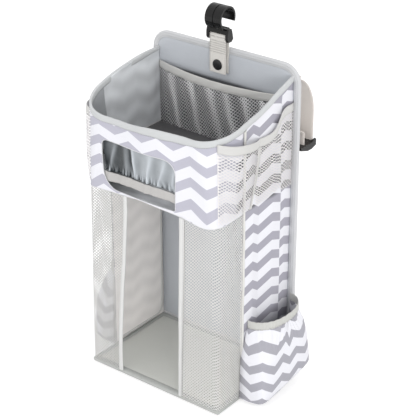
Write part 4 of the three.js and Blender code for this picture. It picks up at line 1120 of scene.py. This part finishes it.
def pocket_plan(turn, rise, extra=0.0):
    """Place out from the wall and along it of the lower pocket, turn 0 at the front and pi at the back."""
    fullness, square, late = (np.interp(rise, POCKET_LEVELS[:, 0], POCKET_LEVELS[:, n]) for n in (1, 2, 3))
    y0, y1 = SEAM_Y - 5.0, REAR_Y - GAP
    start = y0 + late * 17.0
    along = np.abs(np.cos(turn)) ** square * (y1 - start) / 2
    y = (start + y1) / 2 - np.sign(np.cos(turn)) * along
    share = (y - y0) / (y1 - y0)
    sine = np.maximum(np.sin(turn), 0)
    out = 1.4 + 4 * share + (fullness * POCKET_REACH + extra) * sine ** square
    return out, y, share


def lower_pockets():
    levels = np.concatenate([(0, 0.002, 0.004, 0.01, 0.02, 0.035, 0.06), spread(0.09, 1, 64)])
    for name, side in SIDES:
        turn, k = mesh_grid(spread(0, math.pi, 190), levels)
        out, y, share = pocket_plan(turn, k)
        full_out, full_y, _ = pocket_plan(turn[:, 0], 0.3)
        along = run_of(pack(full_out, full_y))[:, None] + 0 * k
        random = np.random.RandomState(100 + side)
        crease = 0 * along
        for _ in range(9):
            length, phase = random.uniform(6, 15), random.uniform(0, 9)
            crease = crease + np.sin(along / length * math.tau + phase + 2.0 * k)
        gather = np.maximum(k - 0.6, 0) / 0.4
        crease = crease * 0.55 * gather ** 1.6 * (1 - 0.35 * smooth(k, 0.93, 1.0))
        sag = 1.3 * ripple(along, 110 * k, 102, 60.0) * np.sin(math.pi * k) ** 0.7
        out = out + (crease + sag) * smooth(turn, 0, 0.5) * smooth(math.pi - turn, 0, 0.35)
        z = lerp(3 + 22 * share, POCKET_CLOTH_Z, k)
        under = np.interp(k, POCKET_LEVELS[:, 0], POCKET_LEVELS[:, 1])
        v = z - POCKET_REACH * np.maximum(1 - under, 0) * (k < 0.09)
        grid(f"lower_pocket_cloth_{name}", f"lower_pocket_{name}", pack(side * (HALF_W + out), y, z),
             pack(along, v), "pocket_print", "printed_cloth", flip=side < 0, thick=CLOTH, held="gathered",
             on=(f"side_cover_{name}", "back_binding"))
        turn, k = lattice(0, math.pi, 260, 12)
        ruffle = 0.45 * np.sin(turn * 62 + 2 * np.sin(turn * 11)) * (1 - 0.7 * k)
        out, y, share = pocket_plan(turn, 1.0, ruffle + 0.9 * np.sin(math.pi * k))
        sag = 2.0 * np.sin(turn) ** 2 * (1 - share)
        z = lerp(ELASTIC_Z0, ELASTIC_Z1, k) + 0.35 * np.sin(turn * 28 + 1) - sag
        uv = pack(turn / math.pi * ELASTIC_LENGTH, (ELASTIC_Z1 - ELASTIC_Z0) * k)
        grid(f"lower_elastic_{name}", f"lower_pocket_elastic_{name}",
             pack(side * (HALF_W + out + 0.3), y, z), uv, "pocket_elastic", "binding_tape", flip=side < 0,
             thick=CLOTH, held="stretched", on=(f"lower_pocket_{name}",))


# Straps
STRAP_X, BAR_Y, BAR_Z, REAR_STRAP_X = -5.0, 83.2, 524.0, 118
WEBBING_W, WEBBING_T, WEBBING_CROWN = 30, 1.3, 0.15


def strip(name, node, line, middle_x, material, **rest):
    """Webbing along a line of (y, z), closed on both faces, with rounded edges."""
    half = WEBBING_W / 2
    across = spread(-half, half, 9)
    rise = WEBBING_T / 2 + WEBBING_CROWN * np.cos(across / half * math.pi / 2)
    a = np.concatenate([[-half], across * 0.985, [half], across[::-1] * 0.985])
    d = np.concatenate([[0.0], rise, [0.0], -rise[::-1]])
    normal, along = left_of(line), run_of(line)
    points = pack(middle_x + a, line[:, :1] + normal[:, :1] * d, line[:, 1:] + normal[:, 1:] * d)
    faces, uvs = loft(len(line), len(a), along, [*(a + half), 0.0])
    mesh_object(name, node, points.reshape(-1, 3), faces, uvs, material, "webbing", loose=False,
                flat=(WEBBING_W * MM, float(along[-1]) * MM), **rest)


def straps():
    bar = np.array([BAR_Y, BAR_Z])
    line = joined(straight((2.65, -58), (2.65, -38)),
                  bezier((2.65, -38), (2.65, -35), (3.75, -34), (3.75, -31), 8),
                  straight((3.75, -31), (3.75, 0)), arc(0, 0, 3.75, 0, 180, 24),
                  straight((-3.75, 0), (-3.75, -2)))
    strip("hook_strap_loop", "strap_loop", line + bar, STRAP_X, "webbing", held="folded",
          on=("back_lining", "hook"))
    line = joined(straight((-3.75, -2.3), (-3.75, -54)),
                  bezier((-3.75, -54), (-3.75, -56), (-3.6, -57), (-3.4, -58), 5))
    strip("hook_strap_front", "strap_tail", line + bar, STRAP_X, "sewn_webbing", body="strap_tail",
          on=("snap_cap",))
    line = joined(straight((6.25, 490), (6.25, 484)),
                  bezier((6.25, 484), (24, 478), (43.2, 452), (43.2, 422), 30),
                  straight((43.2, 422), (43.2, 372)), arc(40.2, 372, 3, 0, -90, 8),
                  arc(24.2, 372, 3, -90, -180, 8), straight((21.2, 372), (21.2, 393)),
                  bezier((21.2, 393), (21, 400), (6.4, 400), (6.25, 408), 12),
                  straight((6.25, 408), (6.25, 418)))
    for name, side in SIDES:
        strip(f"rear_loop_{name}", f"rear_strap_{name}", line + np.array([BACK_Y, 0]), side * REAR_STRAP_X,
              "rear_webbing", on=("back_cover", f"strap_adjuster_{name}"))


def hard_parts():
    """The part's own solids, with their materials and softened edges."""
    for material, bevel, names in (
        ("black_plastic", 0.5, ["hook"]),
        ("black_plastic", 0.8, ["strap_adjuster_left", "strap_adjuster_right"]),
        ("snap_metal", 0.0, ["snap_cap", "snap_socket", "snap_stud", "snap_rivet"]),
        ("stiffener", 0.0, ["back_board", "base_board", "shelf_board"]),
    ):
        for node in (bpy.data.objects[name] for name in names):
            node.data.materials.clear()
            node.data.materials.append(MATERIALS[material])
            if bevel:
                edge = node.modifiers.new("soft edges", "BEVEL")
                edge.width, edge.segments, edge.limit_method = bevel * MM, 3, "ANGLE"
                edge.angle_limit = math.radians(28)


panels()
side_walls()
lining_seams()
band()
rim()
shelf()
wipes_pocket()
front_nets()
inner_pocket()
upper_pockets()
lower_pockets()
straps()
hard_parts()


# Camera at the photograph's viewing angle, lamps, world and floor
def into_scene(name, data, place, aim_at):
    made = bpy.data.objects.new(name, data)
    bpy.context.scene.collection.objects.link(made)
    made.location = place
    made.rotation_euler = (Vector(aim_at) - made.location).to_track_quat("-Z", "Y").to_euler()
    return made


def lamp(name, place, aim_at, size, power):
    data = bpy.data.lights.new(name, "AREA")
    data.shape, data.size, data.energy = "DISK", size, power
    into_scene(name, data, place, aim_at)


def light_and_eye(tree, lit, seen, output):
    """Ends a tree with one shader for the light that goes about, and one for what the camera sees,
    straight or in metal, gloss or glass."""
    rays = tree.nodes.new("ShaderNodeLightPath").outputs
    total = Wire(rays["Is Camera Ray"])
    for name in ("Is Glossy Ray", "Is Transmission Ray"):
        total = total.math("MAXIMUM", Wire(rays[name]))
    pick = add_node(tree, "ShaderNodeMixShader", total, *(Wire(shader.outputs[0]) for shader in (lit, seen)))
    add_node(tree, output, Wire(pick.outputs[0]))


def studio_world():
    world = bpy.data.worlds.new("studio")
    bpy.context.scene.world = world
    world.use_nodes = True
    tree = world.node_tree
    tree.nodes.clear()
    lit = add_node(tree, "ShaderNodeBackground", (1.0, 1.0, 1.0), 1.04)
    seen = add_node(tree, "ShaderNodeBackground", (1.0, 1.0, 1.0), 1.0)
    light_and_eye(tree, lit, seen, "ShaderNodeOutputWorld")


def studio_floor():
    """Pale floor just under the base, white to the camera where no shadow falls on it."""
    rings, sides, reach, z = 40, 64, 7.0, -0.0015
    turn = spread(0, math.tau, sides + 1)[:-1]
    points, faces = [(0.0, 0.0, z)], []
    for ring in range(1, rings + 1):
        r = reach * (ring / rings) ** 2
        points += [(r * math.cos(a), r * math.sin(a), z) for a in turn]
    for j in range(sides):
        n = (j + 1) % sides
        faces.append((0, 1 + j, 1 + n))
        for a in range(1, 1 + (rings - 1) * sides, sides):
            faces.append((a + j, a + sides + j, a + sides + n, a + n))
    mesh = bpy.data.meshes.new("studio_floor")
    mesh.from_pydata(points, [], faces)
    made = bpy.data.objects.new("studio_floor", mesh)
    bpy.context.scene.collection.objects.link(made)
    material = bpy.data.materials.new("studio_floor")
    material.use_nodes = True
    mesh.materials.append(material)
    tree = material.node_tree
    tree.nodes.clear()
    lit = add_node(tree, "ShaderNodeBsdfDiffuse", (0.8, 0.8, 0.8))
    dim = add_node(tree, "ShaderNodeBsdfDiffuse", (0.5, 0.5, 0.5))
    glow = add_node(tree, "ShaderNodeEmission", Strength=0.66)
    seen = add_node(tree, "ShaderNodeAddShader", Wire(dim.outputs[0]), Wire(glow.outputs[0]))
    light_and_eye(tree, lit, seen, "ShaderNodeOutputMaterial")


camera = into_scene("camera", bpy.data.cameras.new("camera"), (1.2019, -1.5057, 1.2578),
                    (0.0382, 0.0, 0.2865))
camera.data.lens = 124.63
camera.data.sensor_width = 36
bpy.context.scene.camera = camera
lamp("key", (-0.2, -2.6, 1.5), (0, 0, 0.28), 0.5, 3)
lamp("fill", (2.2, -2.0, 0.5), (0, 0, 0.25), 0.8, 19)
studio_world()
studio_floor()
bpy.context.scene.view_settings.view_transform = "Standard"
